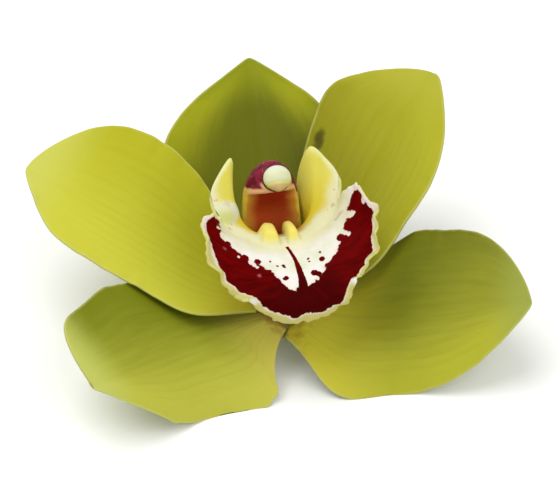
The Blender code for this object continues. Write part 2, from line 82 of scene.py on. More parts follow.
LATERAL_SEPAL_LEFT = Tepal(
    "lateral_sepal_left", -116, 4.9, -0.7, 54.5, (3, 12, 18), (0, -4, -12), (0, 20, 25),
    (6.3, 7.6, 9.6, 12.6, 16.8, 20, 19.3, 18.7, 18, 17.3, 16.6, 16.4, 15.8, 14.8, 13.2, 11.5, 9.7,
     8.1, 6.4, 5, 3.6),
    (4, 15, 20, 22.4, 21.4, 27), (0, -52, -25), (0, 0, 0), (8, 0.6), 0.3, 2.0, 0,
)
LATERAL_SEPAL_RIGHT = Tepal(
    "lateral_sepal_right", 118, 4.9, -0.7, 55.5, (2, 16, 24), (0, 0, 0), (0, -22, -25),
    (4, 15.5, 23.2, 22.6, 21.1, 16), (10.3, 20.8, 19.2, 17, 11.8, 6.4), (0, 0, 0), (0, -42, -20),
    (8, 0.7), 0.3, 2.0, 2.0,
)
TEPAL_ROWS = 150
TEPAL_COLS = 81
TEPAL_MARGIN_COLS = (0.972, 0.985, 0.994, 1.0)
TEPAL_TIP_HALF_WIDTH = 0.3
TEPAL_TIP_CROWDING = 1.6
TEPAL_HEEL_LENGTH = 0.12
TEPAL_HEEL_START = (0.2, 0.8)
MARGIN_THICKNESS = 0.7
RIB_THICKNESS = 0.8
MIDRIB_GROOVE = 0.3
MIDRIB_GROOVE_WIDTH = 1.5
MARGIN_ROUNDING = 0.35
RIM_SHARE = 0.35
MARGIN_RIPPLE = 0.22
RIPPLE_LENGTH = 15
RIPPLE_START = (0.15, 0.4)
RIPPLE_END = (0.9, 0.99)
FINE_WAVE = 0.16
FINE_WAVE_LENGTH = 6.5
HOOK_PLACE = 0.205
HOOK_LENGTH = 0.018
HOOK_SIZE = 1.6

# Lip: outlines of its two margins and the midline that its cross lines start from, at even
# steps from the claw round the side lobe and the notch to the front of the mid lobe. Its
# walls stand out by the belly between the floor and the margin.
LIP_MARGIN_Y = (-4.6, -1.5, 4, 10.3, 14, 14.9, 13.2, 10, 5.5, 3.6, 1, -5, -11.5, -17, -19.5, -20.8, -21)
LIP_LEFT_X = (3.2, 5.8, 8.4, 9.8, 9.8, 9.4, 12.4, 15.4, 14.6, 16.2, 18.2, 19.9, 19, 15.7, 9.7, 5, 0)
LIP_LEFT_Z = (1.2, 4, 9, 18, 26.6, 34, 32, 28.2, 24.8, 27, 29.1, 27.9, 23.9, 19.6, 15.4, 12.6, 12.4)
LIP_LEFT_BELLY = (0, 0.8, 2.4, 2, 0, 0, 0, 0, 0)
LIP_RIGHT_X = (3.2, 5, 6.2, 6.5, 6.2, 9.2, 12.9, 15.2, 14.2, 15.4, 17.2, 19.6, 18.9, 14.2, 9, 4, 0)
LIP_RIGHT_Z = (1.2, 4, 9, 17, 26.2, 34.3, 31.6, 28.5, 26, 29.2, 32.2, 29.9, 24.6, 20, 14.3, 12.8, 12.4)
LIP_RIGHT_BELLY = (0, 0.6, 1.3, 0, 0, 0, 0, 0, 0)
LIP_MIDLINE_Y = (-5.4, -4.4, -2, 0.5, 2.6, 3.4, 2.8, 1, -1.2, -3.5, -5.8, -8, -10, -11.7, -13.2, -14.4, -15.3)
LIP_MIDLINE_Z = (1, 5, 9.5, 13, 16, 17.6, 18.7, 19.3, 19.5, 19.6, 19.6, 19.5, 19.3, 19.1, 18.9, 18.7, 18.6)
LIP_FLOOR = (1.5, 3, 4.5, 6.2, 7.4, 7.8, 8, 8, 7.6, 7.2, 7, 7, 6.5, 6, 5, 4, 3)
LIP_FAN = (0, 0, 0, 0, 0, 0, 0, 0, 0, 0, 5, 15, 30, 45, 65, 82, 90)
LIP_WALL_START = 0.45
LIP_FRONT_OVERHANG = 4.5
LIP_LINES = 281
LIP_COLS = 76
LIP_COLS_CROWDING = 1.5
LIP_MARGIN_THICKNESS = 0.8
LIP_BASE_THICKNESS = 1.2
LIP_FRILL = 0.7
LIP_FRILL_LENGTH = 9
LIP_FRILL_START = (0.5, 0.62)
LIP_FRILL_END = (0.82, 0.93)
LIP_FRILL_DEPTH = 5
LIP_FRILL_PHASES = (0.6, 2.1)
LIP_FRILL_SECOND_SIZE = 0.5
LIP_FRILL_SECOND_PACE = 1.7
LIP_CRIMP = 0.5
LIP_CRIMP_LENGTH = 4.4
LIP_CRIMP_DEPTH = 8
LIP_SCALLOP = 0.3
LIP_SCALLOP_LENGTH = 2.5
LIP_CURL_PLACES = ((0.843, False), (0.825, True))
LIP_CURL_LENGTH = 1.2
LIP_CURL_RISE = np.array([0.0, 0.7, 1.7])
KEEL_HEIGHT = 2.7
KEEL_PLACES = (-3.7, 1.95)
KEEL_HALF_WIDTHS = (2.4, 1.7)
KEEL_BLUNTNESS = 4
KEEL_START = (0.15, 0.32)
KEEL_END = (0.47, 0.56)

# The fold at the foot of the left side lobe, with the centre and radius of the ball that it
# fills, and of its green and its brown side
FOLD_HEIGHT = 1.1
FOLD_BALL = ((-12.4, 7.0, 24.4), 3.8)
FOLD_GREEN_BALL = ((-13.2, 5.9, 23.6), 2.2)
FOLD_BROWN_BALL = ((-12.3, 9.2, 25.4), 1.6)

# Maroon band of the lip: how far aside it starts, at even steps of y from the notches to the
# front, how wide the cream edge outside it is, from each notch to the front, the line down
# the middle of the white disc, and dark dots, white bays and pink specks by x, y and radius
BAND_Y = (3, -19.5)
BAND_LEFT_X = (15.2, 15.2, 15.5, 15.8, 15.2, 13.5, 12.2, 10.7, 8.2, 6.7, 5.3, 4.7, 4, 3.1, 1.2, -3)
BAND_RIGHT_X = (17, 16.4, 15.3, 14.4, 14.2, 13.2, 11.8, 11.3, 10.2, 8.5, 6.8, 6, 4.1, 2.2, -1.5, -3)
CREAM_EDGE_LEFT = (
    0.7, 0.7, 0.8, 0.8, 0.8, 1, 1.6, 2.1, 2.6, 2.9, 1.7, 1.4, 2.1, 2.7, 2.3, 1.8, 2.4, 2.8, 2.2, 2.7, 3.1
)
CREAM_EDGE_RIGHT = (
    0.7, 0.7, 0.9, 1.6, 2.4, 1.2, 0.8, 1.5, 1.6, 2, 1.7, 1, 1.2, 2, 1.8, 1.5, 2.4, 2.2, 2.6, 2.9, 3.1
)
BAND_SHOULDER = (0.52, 0.54)
FAR_FROM_DOTS = 9.0
MEDIAN_LINE_Y = (-3, -16.5)
MEDIAN_LINE_BEND = (-0.3, 3.3, -2.6)
MEDIAN_LINE_HALF_WIDTH = (0.38, 1.15)
MAROON_DOTS = (
    (-5.4, -8, 0.3), (-4.05, -9.5, 0.33), (-2.65, -9.5, 0.4), (-2.5, -10, 0.35),
    (-2.8, -13.4, 0.62), (-3.2, -13.7, 0.55), (3.5, -8.6, 0.35), (3.6, -9.5, 0.3),
    (6.6, -7.7, 0.35), (6.5, -9.8, 0.7), (3.85, -13.2, 0.9), (4.7, -13.8, 0.8), (-14.4, -3.7, 0.7),
    (-11.1, -7.1, 0.85), (-8.4, -8.1, 0.85), (-6.3, -11.1, 0.6), (13.9, -4.2, 0.8),
    (11.8, -6.2, 0.9), (7.2, -11.9, 0.6), (-0.6, -17.6, 0.9),
)
WHITE_BAYS = (
    (-15.8, 0.3, 0.5), (-16.3, -0.1, 0.4), (-10, -8.5, 0.7), (-9.4, -9.2, 0.55), (-8.9, -9.8, 0.4),
    (-12.6, -7.1, 0.35), (14.4, -2.2, 0.8), (15.1, -2.7, 0.7), (15.7, -2.9, 0.45),
    (12.6, -5.3, 0.5), (13.1, -5.8, 0.5), (13.7, -6.3, 0.45), (4.2, -15.2, 0.4), (18.6, -2.4, 0.7),
)
PINK_SPECKS = (
    (12.8, 5.1, 0.45), (13.4, 0, 0.6), (12.5, -0.5, 0.5), (-15.5, -5.4, 0.3), (-8.9, -12.3, 0.35),
    (-12.6, 3.3, 0.3),
)

# Column: an arched half-round body, hollow below, with a rounded hood over its tip
COLUMN_LENGTH = 38
COLUMN_BASE_LEVEL = -1.4
COLUMN_LEAN = (0, 28, 30, 24, 14, 4, 0)
COLUMN_BOW = (0, -0.3, -0.7, -1.1, -1.2, -1.1, -1)
COLUMN_HALF_WIDTH = (4.2, 4.9, 6.2, 7, 6.9, 6.3, 6)
COLUMN_BACK = (4.2, 4.2, 4.2, 4.3, 4.4, 4.5, 4.5)
COLUMN_FRONT = (4.2, 3.2, 2.4, 1.8, 1.8, 3.2, 4)
COLUMN_LEDGE = 1.3
COLUMN_LEDGE_PLACE = 0.815
COLUMN_LEDGE_RISE = 0.045
COLUMN_LEDGE_WIDTH = 0.03
LEDGE_LEFT_RISE = 0.005
LEDGE_RIGHT_DROP = 0.07
LEDGE_RIGHT_END = (0.82, 0.95)
COLUMN_FRONT_FULLNESS = 0.8
COLUMN_HOLLOW = (0, 0.6, 1.4, 1.8, 1.8, 0.2, 0)
COLUMN_HOLLOW_NARROWNESS = 4
COLUMN_DOME_START = 0.77
COLUMN_RINGS = 120
COLUMN_TIP_CROWDING = 1.5
COLUMN_SIDES = 96

# Anther cap, the pollinia beneath it and the recess of the column's tip that holds both, each
# with the rings and sides of its mesh
CAP_CENTRE = np.array([-0.05, 7.9, 31.9])
CAP_FACING = 50
CAP_SEMI = np.array([3.2, 2.9, 2.1])
CAP_SWELL = 0.06
CAP_BEAK = 0.1
CAP_BEAK_LEVEL = -0.9
CAP_BEAK_WIDTH = 0.3
CAP_CREASE = 0.05
CAP_CREASE_LEVEL = -0.42
CAP_CREASE_WIDTH = 0.09
CAP_LOBE = 0.03
CAP_LOBES = 3
CAP_MESH = (48, 72)
RECESS_SEMI = np.array([3.42, 3.12, 3.9])
RECESS_DEPTH = 0.5
RECESS_MESH = (40, 64)
DISC_PLACE = (0, -0.9, -3.05)
DISC_SEMI = np.array([1.5, 0.4, 0.45])
DISC_MESH = (20, 40)
POLLINIUM_SEMI = np.array([0.8, 0.85, 0.5])
POLLINIUM_PLACES = ((-0.9, 0, -3.05), (0.9, 0, -3.05))
POLLINIUM_MESH = (20, 28)

# Stalk: a receptacle under the hub, and the six-ribbed ovary and cut stalk that leave it
RECEPTACLE_LEVEL = (-2.1, -2.6, -3.4, -4.3, -5.5, -6.6, -7.3)
RECEPTACLE_RADIUS = (6.3, 6.5, 5.6, 4.4, 3.4, 2.3, 1)
RECEPTACLE_RINGS = 25
RECEPTACLE_SIDES = 60
RECEPTACLE_FOOT = 1.5
STALK_START = np.array([0.0, -1.2, -4.8])
STALK_LENGTH = 35
STALK_DROP = (0, 2, 4, 4, 1)
STALK_SWAY = (0, 0, 5, 8, 4)
STALK_RADIUS = (2.6, 2.9, 3, 2.9, 2.7, 2.4, 2.4)
STALK_RIB = 0.07
STALK_RIB_FADE = 0.6
STALK_RIBS = 6
STALK_RINGS = 90
STALK_SIDES = 72

# Camera: turned and raised as in the photograph, with the hub at a pixel of its frame
PICTURE_WIDTH = 560
PICTURE_HEIGHT = 480
HUB_PIXEL = (285, 305)
PIXELS_PER_MM = 4.2
CAMERA_AZIMUTH = -13
CAMERA_ELEVATION = 40
CAMERA_DISTANCE = 500
SENSOR_WIDTH = 36

# Table top and lights, in metres: each light stands aside of, above and before the bloom, as
# the camera sees it
FLOOR_REACH = 4.0
FLOOR_PALE = (0.93, 0.93, 0.92)
FLOOR_WHITE = (0.95, 0.95, 0.94)
LIGHT_SIZE = 0.9
KEY_PLACE = (-0.35, 0.75, 0.6)
KEY_POWER = 6.4
FILL_PLACE = (0.5, 0.2, 0.8)
FILL_POWER = 3.2
SKY_STRENGTH = 0.66

Body = namedtuple("Body", "points faces fields")


def smooth_through(values, u):
    """Smooth curve through values given at even steps of u from 0 to 1."""
    values = np.asarray(values, float)
    last = len(values) - 1
    place = np.clip(u, 0.0, 1.0) * last
    index = np.minimum(place.astype(int), last - 1)
    f = place - index
    ends = (2 * values[0] - values[1], 2 * values[-1] - values[-2])
    padded = np.concatenate([[ends[0]], values, [ends[1]]])
    a, b, c, d = (padded[index + k] for k in range(4))
    bend = (2 * a - 5 * b + 4 * c - d) * f**2 + (3 * b - a - 3 * c + d) * f**3
    return 0.5 * (2 * b + (c - a) * f + bend)


def rise_between(low, high, values):
    f = np.clip((values - low) / (high - low), 0.0, 1.0)
    return f * f * (3 - 2 * f)


def window(rise, fall, values):
    """1 between the rise and the fall, and 0 before and after them."""
    return rise_between(*rise, values) * (1 - rise_between(*fall, values))


def bell(offset, width):
    return np.exp(-((offset / width) ** 2))


def angle_through(degrees, u):
    return np.radians(smooth_through(degrees, u))


def points_through(x, y, z, u):
    return np.stack([smooth_through(values, u) for values in (x, y, z)], 1)


def crowded(count, crowding):
    """Steps from 0 to 1, closer together towards 1."""
    return 1 - (1 - np.linspace(0, 1, count)) ** crowding


def full_turn(sides):
    return np.linspace(0, 2 * np.pi, sides, endpoint=False)


def unit(vectors):
    return vectors / np.linalg.norm(vectors, axis=-1, keepdims=True)


def heading(turn, lift):
    """Directions turned clockwise from +Y and lifted off the level."""
    return np.stack([np.cos(lift) * np.sin(turn), np.cos(lift) * np.cos(turn), np.sin(lift)], 1)


def uneven_wave(run, length, phase):
    """Wave of about one unit whose size and pace wander along the run."""
    turns = 2 * np.pi * run / length + phase
    wander = 0.7 * np.sin(0.23 * turns + 1.3 * phase)
    size = 0.7 + 0.3 * np.sin(0.41 * turns + 2.2 * phase)
    return size * (np.sin(turns + wander) + 0.35 * np.sin(1.9 * turns + phase))


def swept_line(start, length, directions):
    """Points along a line that leaves its start and follows evenly spaced directions."""
    steps = (directions[1:] + directions[:-1]) / 2 * length / (len(directions) - 1)
    return start + np.concatenate([np.zeros((1, 3)), np.cumsum(steps, 0)])


def line_at(u, steps, line):
    """The line's points at u, where its own points lie at the steps."""
    return np.stack([np.interp(u, steps, line[:, k]) for k in range(3)], 1)


def placed(points):
    """Move points from the hub's frame to the table's, flattened where they press on it."""
    moved = points + HUB
    moved[:, 2] = np.maximum(moved[:, 2], 0.0)
    return moved


def sheet_normals(sheet, folded):
    down = np.gradient(sheet, axis=0)
    across = np.gradient(sheet, axis=1)
    normals = np.cross(across, down)
    if folded:
        turn = len(sheet) // 2
        normals[:, 0] = normals[:, 0] + normals[::-1, 0]
        normals[turn, 0] = normals[turn, 1]
    return unit(normals)


def closed_sheet(sheet, thickness, fields, ridge=0.0, folded=False):
    """Thin closed body about a sheet, with its fields on both faces.

    A folded sheet has its first column laid against itself, row for row from both ends.
    """
    rows, cols = sheet.shape[:2]
    normals = sheet_normals(sheet, folded)
    front = sheet + normals * (thickness / 2 + ridge)[..., None]
    back = sheet - normals * (thickness / 2)[..., None]
    spot = np.arange(rows * cols).reshape(rows, cols)
    if folded:
        turn = rows // 2
        spot[turn + 1 :, 0] = spot[:turn, 0][::-1]
    count = rows * cols
    a, b, c, d = spot[:-1, :-1], spot[:-1, 1:], spot[1:, 1:], spot[1:, :-1]
    upper = np.stack([a, d, c, b], -1).reshape(-1, 4)
    lower = np.stack([a, b, c, d], -1).reshape(-1, 4) + count
    edges = [spot[0, :], spot[1:, -1], spot[-1, -2::-1]]
    if not folded:
        edges.append(spot[-2:0:-1, 0])
    rim = np.concatenate(edges)
    if folded:
        rim = rim[:-1]
    ahead = np.roll(rim, -1)
    sides = np.stack([rim, ahead, ahead + count, rim + count], 1)
    points = np.concatenate([front.reshape(-1, 3), back.reshape(-1, 3)])
    both = {"front": np.repeat([1.0, 0.0], count)}
    for name, values in fields.items():
        both[name] = np.tile(np.broadcast_to(values, (rows, cols)).reshape(-1), 2)
    return drop_unused(Body(points, np.concatenate([upper, lower, sides]), both))


def drop_unused(body):
    used, faces = np.unique(body.faces, return_inverse=True)
    fields = {name: values[used] for name, values in body.fields.items()}
    return Body(body.points[used], faces.reshape(body.faces.shape), fields)


def closed_rings(rings, first, last):
    """Body through rings of points, closed by a point at each end."""
    count, sides = rings.shape[:2]
    spot = np.arange(count * sides).reshape(count, sides)
    turned = np.roll(spot, -1, axis=1)
    walls = np.stack([spot[:-1], turned[:-1], turned[1:], spot[1:]], -1).reshape(-1, 4)
    points = np.concatenate([rings.reshape(-1, 3), [first], [last]])
    foot = [(b, a, count * sides) for a, b in zip(spot[0], turned[0])]
    head = [(a, b, count * sides + 1) for a, b in zip(spot[-1], turned[-1])]
    return Body(points, walls.tolist() + foot + head, {})


def add_object(name, data):
    added = bpy.data.objects.new(name, data)
    bpy.context.collection.objects.link(added)
    return added


def set_fields(piece, fields):
    """Keep the fields as attributes that the piece's material reads."""
    for name, values in fields.items():
        attribute = piece.data.attributes.new(name, "FLOAT", "POINT")
        attribute.data.foreach_set("value", values.astype(np.float32))


def add_piece(name, body, material=None):
    """Mesh object of a body, with its fields."""
    mesh = bpy.data.meshes.new(name)
    faces = body.faces.tolist() if isinstance(body.faces, np.ndarray) else body.faces
    mesh.from_pydata((placed(body.points) * MM).tolist(), [], faces)
    mesh.update()
    piece = add_object(name, mesh)
    set_fields(piece, body.fields)
    face_outward(piece)
    mesh.polygons.foreach_set("use_smooth", [True] * len(mesh.polygons))
    if material:
        mesh.materials.append(material)
    return piece


def face_outward(piece):
    edit = bmesh.new()
    edit.from_mesh(piece.data)
    bmesh.ops.recalc_face_normals(edit, faces=edit.faces)
    if edit.calc_volume(signed=True) < 0:
        bmesh.ops.reverse_faces(edit, faces=edit.faces)
    edit.to_mesh(piece.data)
    edit.free()


def dress(node, body, material):
    """Piece that shows in place of the frame's node."""
    piece = add_piece(node + "_skin", body, material)
    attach(piece, "root")
    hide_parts(node)
    return piece


def midrib(tepal, u):
    """Points of the midrib at u, with the directions along it, to its side and off its face."""
    fine = np.linspace(0, 1, CURVE_STEPS)
    turn = np.radians(tepal.bearing + smooth_through(tepal.sweep, fine))
    along = heading(turn, angle_through(tepal.rise, fine))
    bearing = np.radians(tepal.bearing)
    start = np.array([np.sin(bearing) * tepal.foot, np.cos(bearing) * tepal.foot, tepal.level])
    line = swept_line(start, tepal.length, along)
    side = np.stack([np.cos(turn), -np.sin(turn), np.zeros_like(turn)], 1)
    face = np.cross(side, along)
    roll = angle_through(tepal.roll, fine)[:, None]
    side = np.cos(roll) * side + np.sin(roll) * face
    face = np.cross(side, along)
    return [line_at(u, fine, values) for values in (line, along, side, face)]


def heel_reach(tepal, u, v):
    """How far the blade's base reaches back on its higher side, fading out along the blade."""
    fade = np.clip(1 - u / TEPAL_HEEL_LENGTH, 0.0, 1.0) ** 2
    return np.outer(tepal.heel * fade, rise_between(*TEPAL_HEEL_START, v))


def basal_hook(tepal, u, sign):
    """Extra half width of the small hook at the left lateral sepal's lower corner."""
    if tepal is not LATERAL_SEPAL_LEFT or sign > 0:
        return 0.0 * u
    return HOOK_SIZE * bell(u - HOOK_PLACE, HOOK_LENGTH)


def tepal_steps():
    """Steps along and across a blade, closer together at its tip and its margins."""
    inner = np.linspace(-1, 1, TEPAL_COLS)[1:-1] * TEPAL_MARGIN_COLS[0]
    outer = np.array(TEPAL_MARGIN_COLS)
    across = np.concatenate([-outer[::-1], inner, outer])
    return crowded(TEPAL_ROWS, TEPAL_TIP_CROWDING), across


def tepal_body(tepal):
    u, v = tepal_steps()
    line, along, side, face = midrib(tepal, u)
    blunt, soft = tepal.tip
    narrowing = (1 - u**blunt) ** soft
    heel = heel_reach(tepal, u, v)
    sheet = np.zeros((len(u), len(v), 3))
    edge = np.zeros((len(u), len(v)))
    halves = (
        (-1, v < 0, tepal.width_low, tepal.curl_low),
        (1, v >= 0, tepal.width_high, tepal.curl_high),
    )
    for sign, chosen, widths, curls in halves:
        half_width = smooth_through(widths, u) * narrowing + TEPAL_TIP_HALF_WIDTH
        half_width += basal_hook(tepal, u, sign)
        reach = np.abs(v[chosen])
        across = np.outer(half_width, reach)
        curl = np.outer(angle_through(curls, u), reach)
        curl = np.where(np.abs(curl) < LEAST_CURL, LEAST_CURL, curl)
        out = across * np.sin(curl) / curl
        up = across * (1 - np.cos(curl)) / curl
        ripple = np.sin(2 * np.pi * tepal.waves * u + sign) * np.sin(np.pi * u) ** 2
        up += np.outer(tepal.wave * ripple, reach**3)
        up += np.outer(margin_ripple(tepal, u, sign), reach**6)
        up -= MIDRIB_GROOVE * bell(across, MIDRIB_GROOVE_WIDTH)
        offset = sign * out[..., None] * side[:, None] + up[..., None] * face[:, None]
        sheet[:, chosen] = line[:, None] + offset - heel[:, chosen, None] * along[:, None]
        edge[:, chosen] = np.outer(half_width, 1 - reach)
    thickness = MARGIN_THICKNESS + RIB_THICKNESS * np.outer(1 - u, 1 - v**2)
    fields = {"along": u[:, None], "across": v, "edge": edge}
    return closed_sheet(sheet, thickness * rounded_edge(edge), fields)


def margin_ripple(tepal, u, sign):
    """Small uneven waves of the margin, calm at the base and the tip."""
    run = u * tepal.length
    waves = MARGIN_RIPPLE * uneven_wave(run, RIPPLE_LENGTH, tepal.bearing + sign)
    waves += FINE_WAVE * uneven_wave(run, FINE_WAVE_LENGTH, 2 * tepal.bearing - sign)
    return waves * window(RIPPLE_START, RIPPLE_END, u)


def rounded_edge(edge):
    """Share of the full thickness near a margin, so that the margin is round."""
    f = np.clip(edge / MARGIN_ROUNDING, 0.0, 1.0)
    return RIM_SHARE + (1 - RIM_SHARE) * np.sqrt(1 - (1 - f) ** 2)


def lip_half(sign, margin_x, margin_z, belly, q, t):
    """Cross lines of one half of the lip, from its midline at t = 0 to its margin at t = 1."""
    margin = points_through(margin_x, LIP_MARGIN_Y, margin_z, q) * (sign, 1, 1)
    middle = points_through((0, 0), LIP_MIDLINE_Y, LIP_MIDLINE_Z, q)
    fan = angle_through(LIP_FAN, q)
    floor = smooth_through(LIP_FLOOR, q)[:, None]
    outward = np.stack([sign * np.cos(fan), -np.sin(fan), np.zeros_like(q)], 1)
    belly = smooth_through(belly, q)
    first = middle + outward * (floor + belly[:, None])
    second = middle + (margin - middle) * LIP_WALL_START
    second[:, 0] = margin[:, 0] + sign * belly
    front = np.sin(fan)[:, None] ** 2
    ahead = middle + outward * (floor + LIP_FRONT_OVERHANG)
    second = second * (1 - front) + ahead * front
    shares = ((1 - t) ** 3, 3 * t * (1 - t) ** 2, 3 * t**2 * (1 - t), t**3)
    return np.einsum("kt,kqc->qtc", shares, (middle, first, second, margin))


def lip_sheet():
    """Middle surface of the lip: cross lines from the claw's left side round to its right side."""
    q = np.linspace(0, 1, LIP_LINES)
    t = np.linspace(0, 1, LIP_COLS) ** LIP_COLS_CROWDING
    left = lip_half(-1, LIP_LEFT_X, LIP_LEFT_Z, LIP_LEFT_BELLY, q, t)
    right = lip_half(1, LIP_RIGHT_X, LIP_RIGHT_Z, LIP_RIGHT_BELLY, q, t)
    sheet = np.concatenate([left, right[-2::-1]], 0)
    place = np.concatenate([q, q[-2::-1]])
    return sheet, place, t


def frilled(sheet, place, t):
    """Sheet with the waves, the fine crimps and the scalloped rim of the mid lobe's margin."""
    run = margin_run(sheet)
    turns = 2 * np.pi * run / LIP_FRILL_LENGTH
    first, second = LIP_FRILL_PHASES
    wave = np.sin(turns + first)
    wave += LIP_FRILL_SECOND_SIZE * np.sin(LIP_FRILL_SECOND_PACE * turns + second)
    start = rise_between(*LIP_FRILL_START, place)
    calm = 1 - rise_between(*LIP_FRILL_END, place)
    height = np.outer(LIP_FRILL * wave * start * calm, t**LIP_FRILL_DEPTH)
    crimp = LIP_CRIMP * uneven_wave(run, LIP_CRIMP_LENGTH, 1.0) * start * (1 + calm) / 2
    height += np.outer(crimp, t**LIP_CRIMP_DEPTH)
    scallop = LIP_SCALLOP * uneven_wave(run, LIP_SCALLOP_LENGTH, 4.0) * start
    reach = np.outer(scallop, t ** (2 * LIP_CRIMP_DEPTH))[..., None]
    outward = unit(sheet[:, -1] - sheet[:, -4])[:, None]
    curl = margin_curls(sheet, place, t)[..., None] * LIP_CURL_RISE
    return sheet + sheet_normals(sheet, True) * height[..., None] + outward * reach + curl


def margin_run(sheet):
    """Distance along the lip's margin from the front of its mid lobe."""
    steps = np.linalg.norm(np.diff(sheet[:, -1], axis=0), axis=1)
    run = np.concatenate([[0.0], np.cumsum(steps)])
    return run - run[-1] / 2


def margin_curls(sheet, place, t):
    """Share of the full rise of the two small curled folds of the lip's margin."""
    run = margin_run(sheet)
    curls = np.zeros_like(run)
    for q, right in LIP_CURL_PLACES:
        side = slice(LIP_LINES, None) if right else slice(LIP_LINES)
        middle = run[side][np.argmin(np.abs(place[side] - q))]
        curls += bell(run - middle, LIP_CURL_LENGTH)
    return np.outer(curls, t**LIP_CRIMP_DEPTH)


def run_across(sheet):
    """Distance of each point from the lip's midline, along its cross line."""
    steps = np.linalg.norm(np.diff(sheet, axis=1), axis=2)
    return np.concatenate([np.zeros((len(sheet), 1)), np.cumsum(steps, 1)], 1)


def keel_height(aside, place):
    """Height of the two keels that run along the lip's floor and end bluntly on its disc."""
    signed = aside.copy()
    signed[: len(aside) // 2] *= -1
    profile = np.zeros_like(aside)
    for middle, half_width in zip(KEEL_PLACES, KEEL_HALF_WIDTHS):
        away = np.abs(signed - middle) / half_width
        profile = np.maximum(profile, 1 - away**KEEL_BLUNTNESS)
    return KEEL_HEIGHT * profile * window(KEEL_START, KEEL_END, place)[:, None]


def ball_share(sheet, centre, radius):
    """Distance of each point from a centre, as a share of the radius."""
    return np.linalg.norm(sheet - centre, axis=2) / radius


def through_side(left_values, right_values, right, f):
    """Smooth curve through the left or the right values, by the side that a point is on."""
    return np.where(right, smooth_through(right_values, f), smooth_through(left_values, f))


def cream_edge(place, right):
    """Width of the cream edge at each cross line, from the notch at 0.5 to the front at 1."""
    return through_side(CREAM_EDGE_LEFT, CREAM_EDGE_RIGHT, right, (place - 0.5) * 2)


def median_line(sheet):
    """How far inside the maroon line down the middle of the disc each point lies."""
    y = sheet[..., 1]
    first, last = MEDIAN_LINE_Y
    f = np.clip((y - first) / (last - first), 0.0, 1.0)
    begin, rate, turn_back = MEDIAN_LINE_BEND
    away = np.abs(sheet[..., 0] - begin - rate * f - turn_back * f**2)
    narrow, wide = MEDIAN_LINE_HALF_WIDTH
    inside = narrow + (wide - narrow) * f**2 - away
    return np.minimum(inside, first - y)


def band_border(sheet, right):
    """How far aside of the white disc's border, within the maroon band, each point lies."""
    first, last = BAND_Y
    f = (sheet[..., 1] - first) / (last - first)
    return np.abs(sheet[..., 0]) - through_side(BAND_LEFT_X, BAND_RIGHT_X, right[:, None], f)


def inside_dots(sheet, dots):
    """How far inside the nearest of the dots each point lies."""
    inside = np.full(sheet.shape[:2], -FAR_FROM_DOTS)
    for x, y, radius in dots:
        inside = np.maximum(inside, radius - np.hypot(sheet[..., 0] - x, sheet[..., 1] - y))
    return inside


def lip_body():
    sheet, place, t = lip_sheet()
    aside = run_across(sheet)
    edge = aside[:, -1:] - aside
    right = np.arange(len(place)) >= LIP_LINES
    keel = keel_height(aside, place)
    fold = FOLD_HEIGHT * np.clip(1 - ball_share(sheet, *FOLD_BALL) ** 2, 0.0, 1.0) ** 2
    fields = {
        "place": place[:, None],
        "edge": edge,
        "aside": aside,
        "band": edge - cream_edge(place, right)[:, None],
        "border": band_border(sheet, right),
        "around": np.where(right, 1 - place, place - 1)[:, None],
        "median": median_line(sheet),
        "dots": inside_dots(sheet, MAROON_DOTS),
        "bays": inside_dots(sheet, WHITE_BAYS),
        "specks": inside_dots(sheet, PINK_SPECKS),
        # The curled folds' share also masks a painted highlight in the lip's material.
        "curl": margin_curls(sheet, place, t),
        "keel": keel,
        "fold": fold,
        "fold_green": ball_share(sheet, *FOLD_GREEN_BALL),
        "fold_brown": ball_share(sheet, *FOLD_BROWN_BALL),
    }
    deepening = (LIP_BASE_THICKNESS - LIP_MARGIN_THICKNESS) * np.outer(1 - place, 1 - t)
    thickness = (LIP_MARGIN_THICKNESS + deepening) * rounded_edge(edge)
    return closed_sheet(frilled(sheet, place, t), thickness, fields, keel + fold, folded=True)


def column_line(u):
    """Points of the column's axis at u, and the direction towards its back."""
    fine = np.linspace(0, 1, CURVE_STEPS)
    lean = angle_through(COLUMN_LEAN, fine)
    along = np.stack([np.zeros_like(lean), np.sin(lean), np.cos(lean)], 1)
    line = swept_line(np.array([0, 0, COLUMN_BASE_LEVEL]), COLUMN_LENGTH, along)
    centre = line_at(u, fine, line)
    centre[:, 0] = smooth_through(COLUMN_BOW, u)
    lean = np.interp(u, fine, lean)
    dorsal = np.stack([np.zeros_like(u), np.cos(lean), -np.sin(lean)], 1)
    return centre, dorsal


def column_body():
    u = crowded(COLUMN_RINGS, COLUMN_TIP_CROWDING)
    centre, dorsal = column_line(u)
    dome = np.clip((u - COLUMN_DOME_START) / (1 - COLUMN_DOME_START), 0, 1)
    scale = np.sqrt(1 - dome**2)
    angle = full_turn(COLUMN_SIDES)
    upper = np.clip(np.cos(angle), 0, 1)
    lower = np.clip(-np.cos(angle), 0, 1)
    back = smooth_through(COLUMN_BACK, u)[:, None] * upper
    above_ledge = u[:, None] - COLUMN_LEDGE_PLACE - COLUMN_LEDGE_RISE * lower
    ledge = COLUMN_LEDGE * bell(above_ledge, COLUMN_LEDGE_WIDTH)
    front = (smooth_through(COLUMN_FRONT, u)[:, None] + ledge) * lower**COLUMN_FRONT_FULLNESS
    hollow = smooth_through(COLUMN_HOLLOW, u)[:, None] * lower**COLUMN_HOLLOW_NARROWNESS
    depth = (back - front + hollow) * scale[:, None]
    rings = centre[:, None] + depth[..., None] * dorsal[:, None]
    rings[..., 0] += smooth_through(COLUMN_HALF_WIDTH, u)[:, None] * np.sin(angle) * scale[:, None]
    return closed_rings(rings[:-1], centre[0], rings[-1, 0])


def cap_axes():
    """Directions across the cap, up its face, and out of its face."""
    lift = np.radians(CAP_FACING)
    return np.array(
        [[1, 0, 0], [0, np.sin(lift), np.cos(lift)], [0, -np.cos(lift), np.sin(lift)]], float
    )


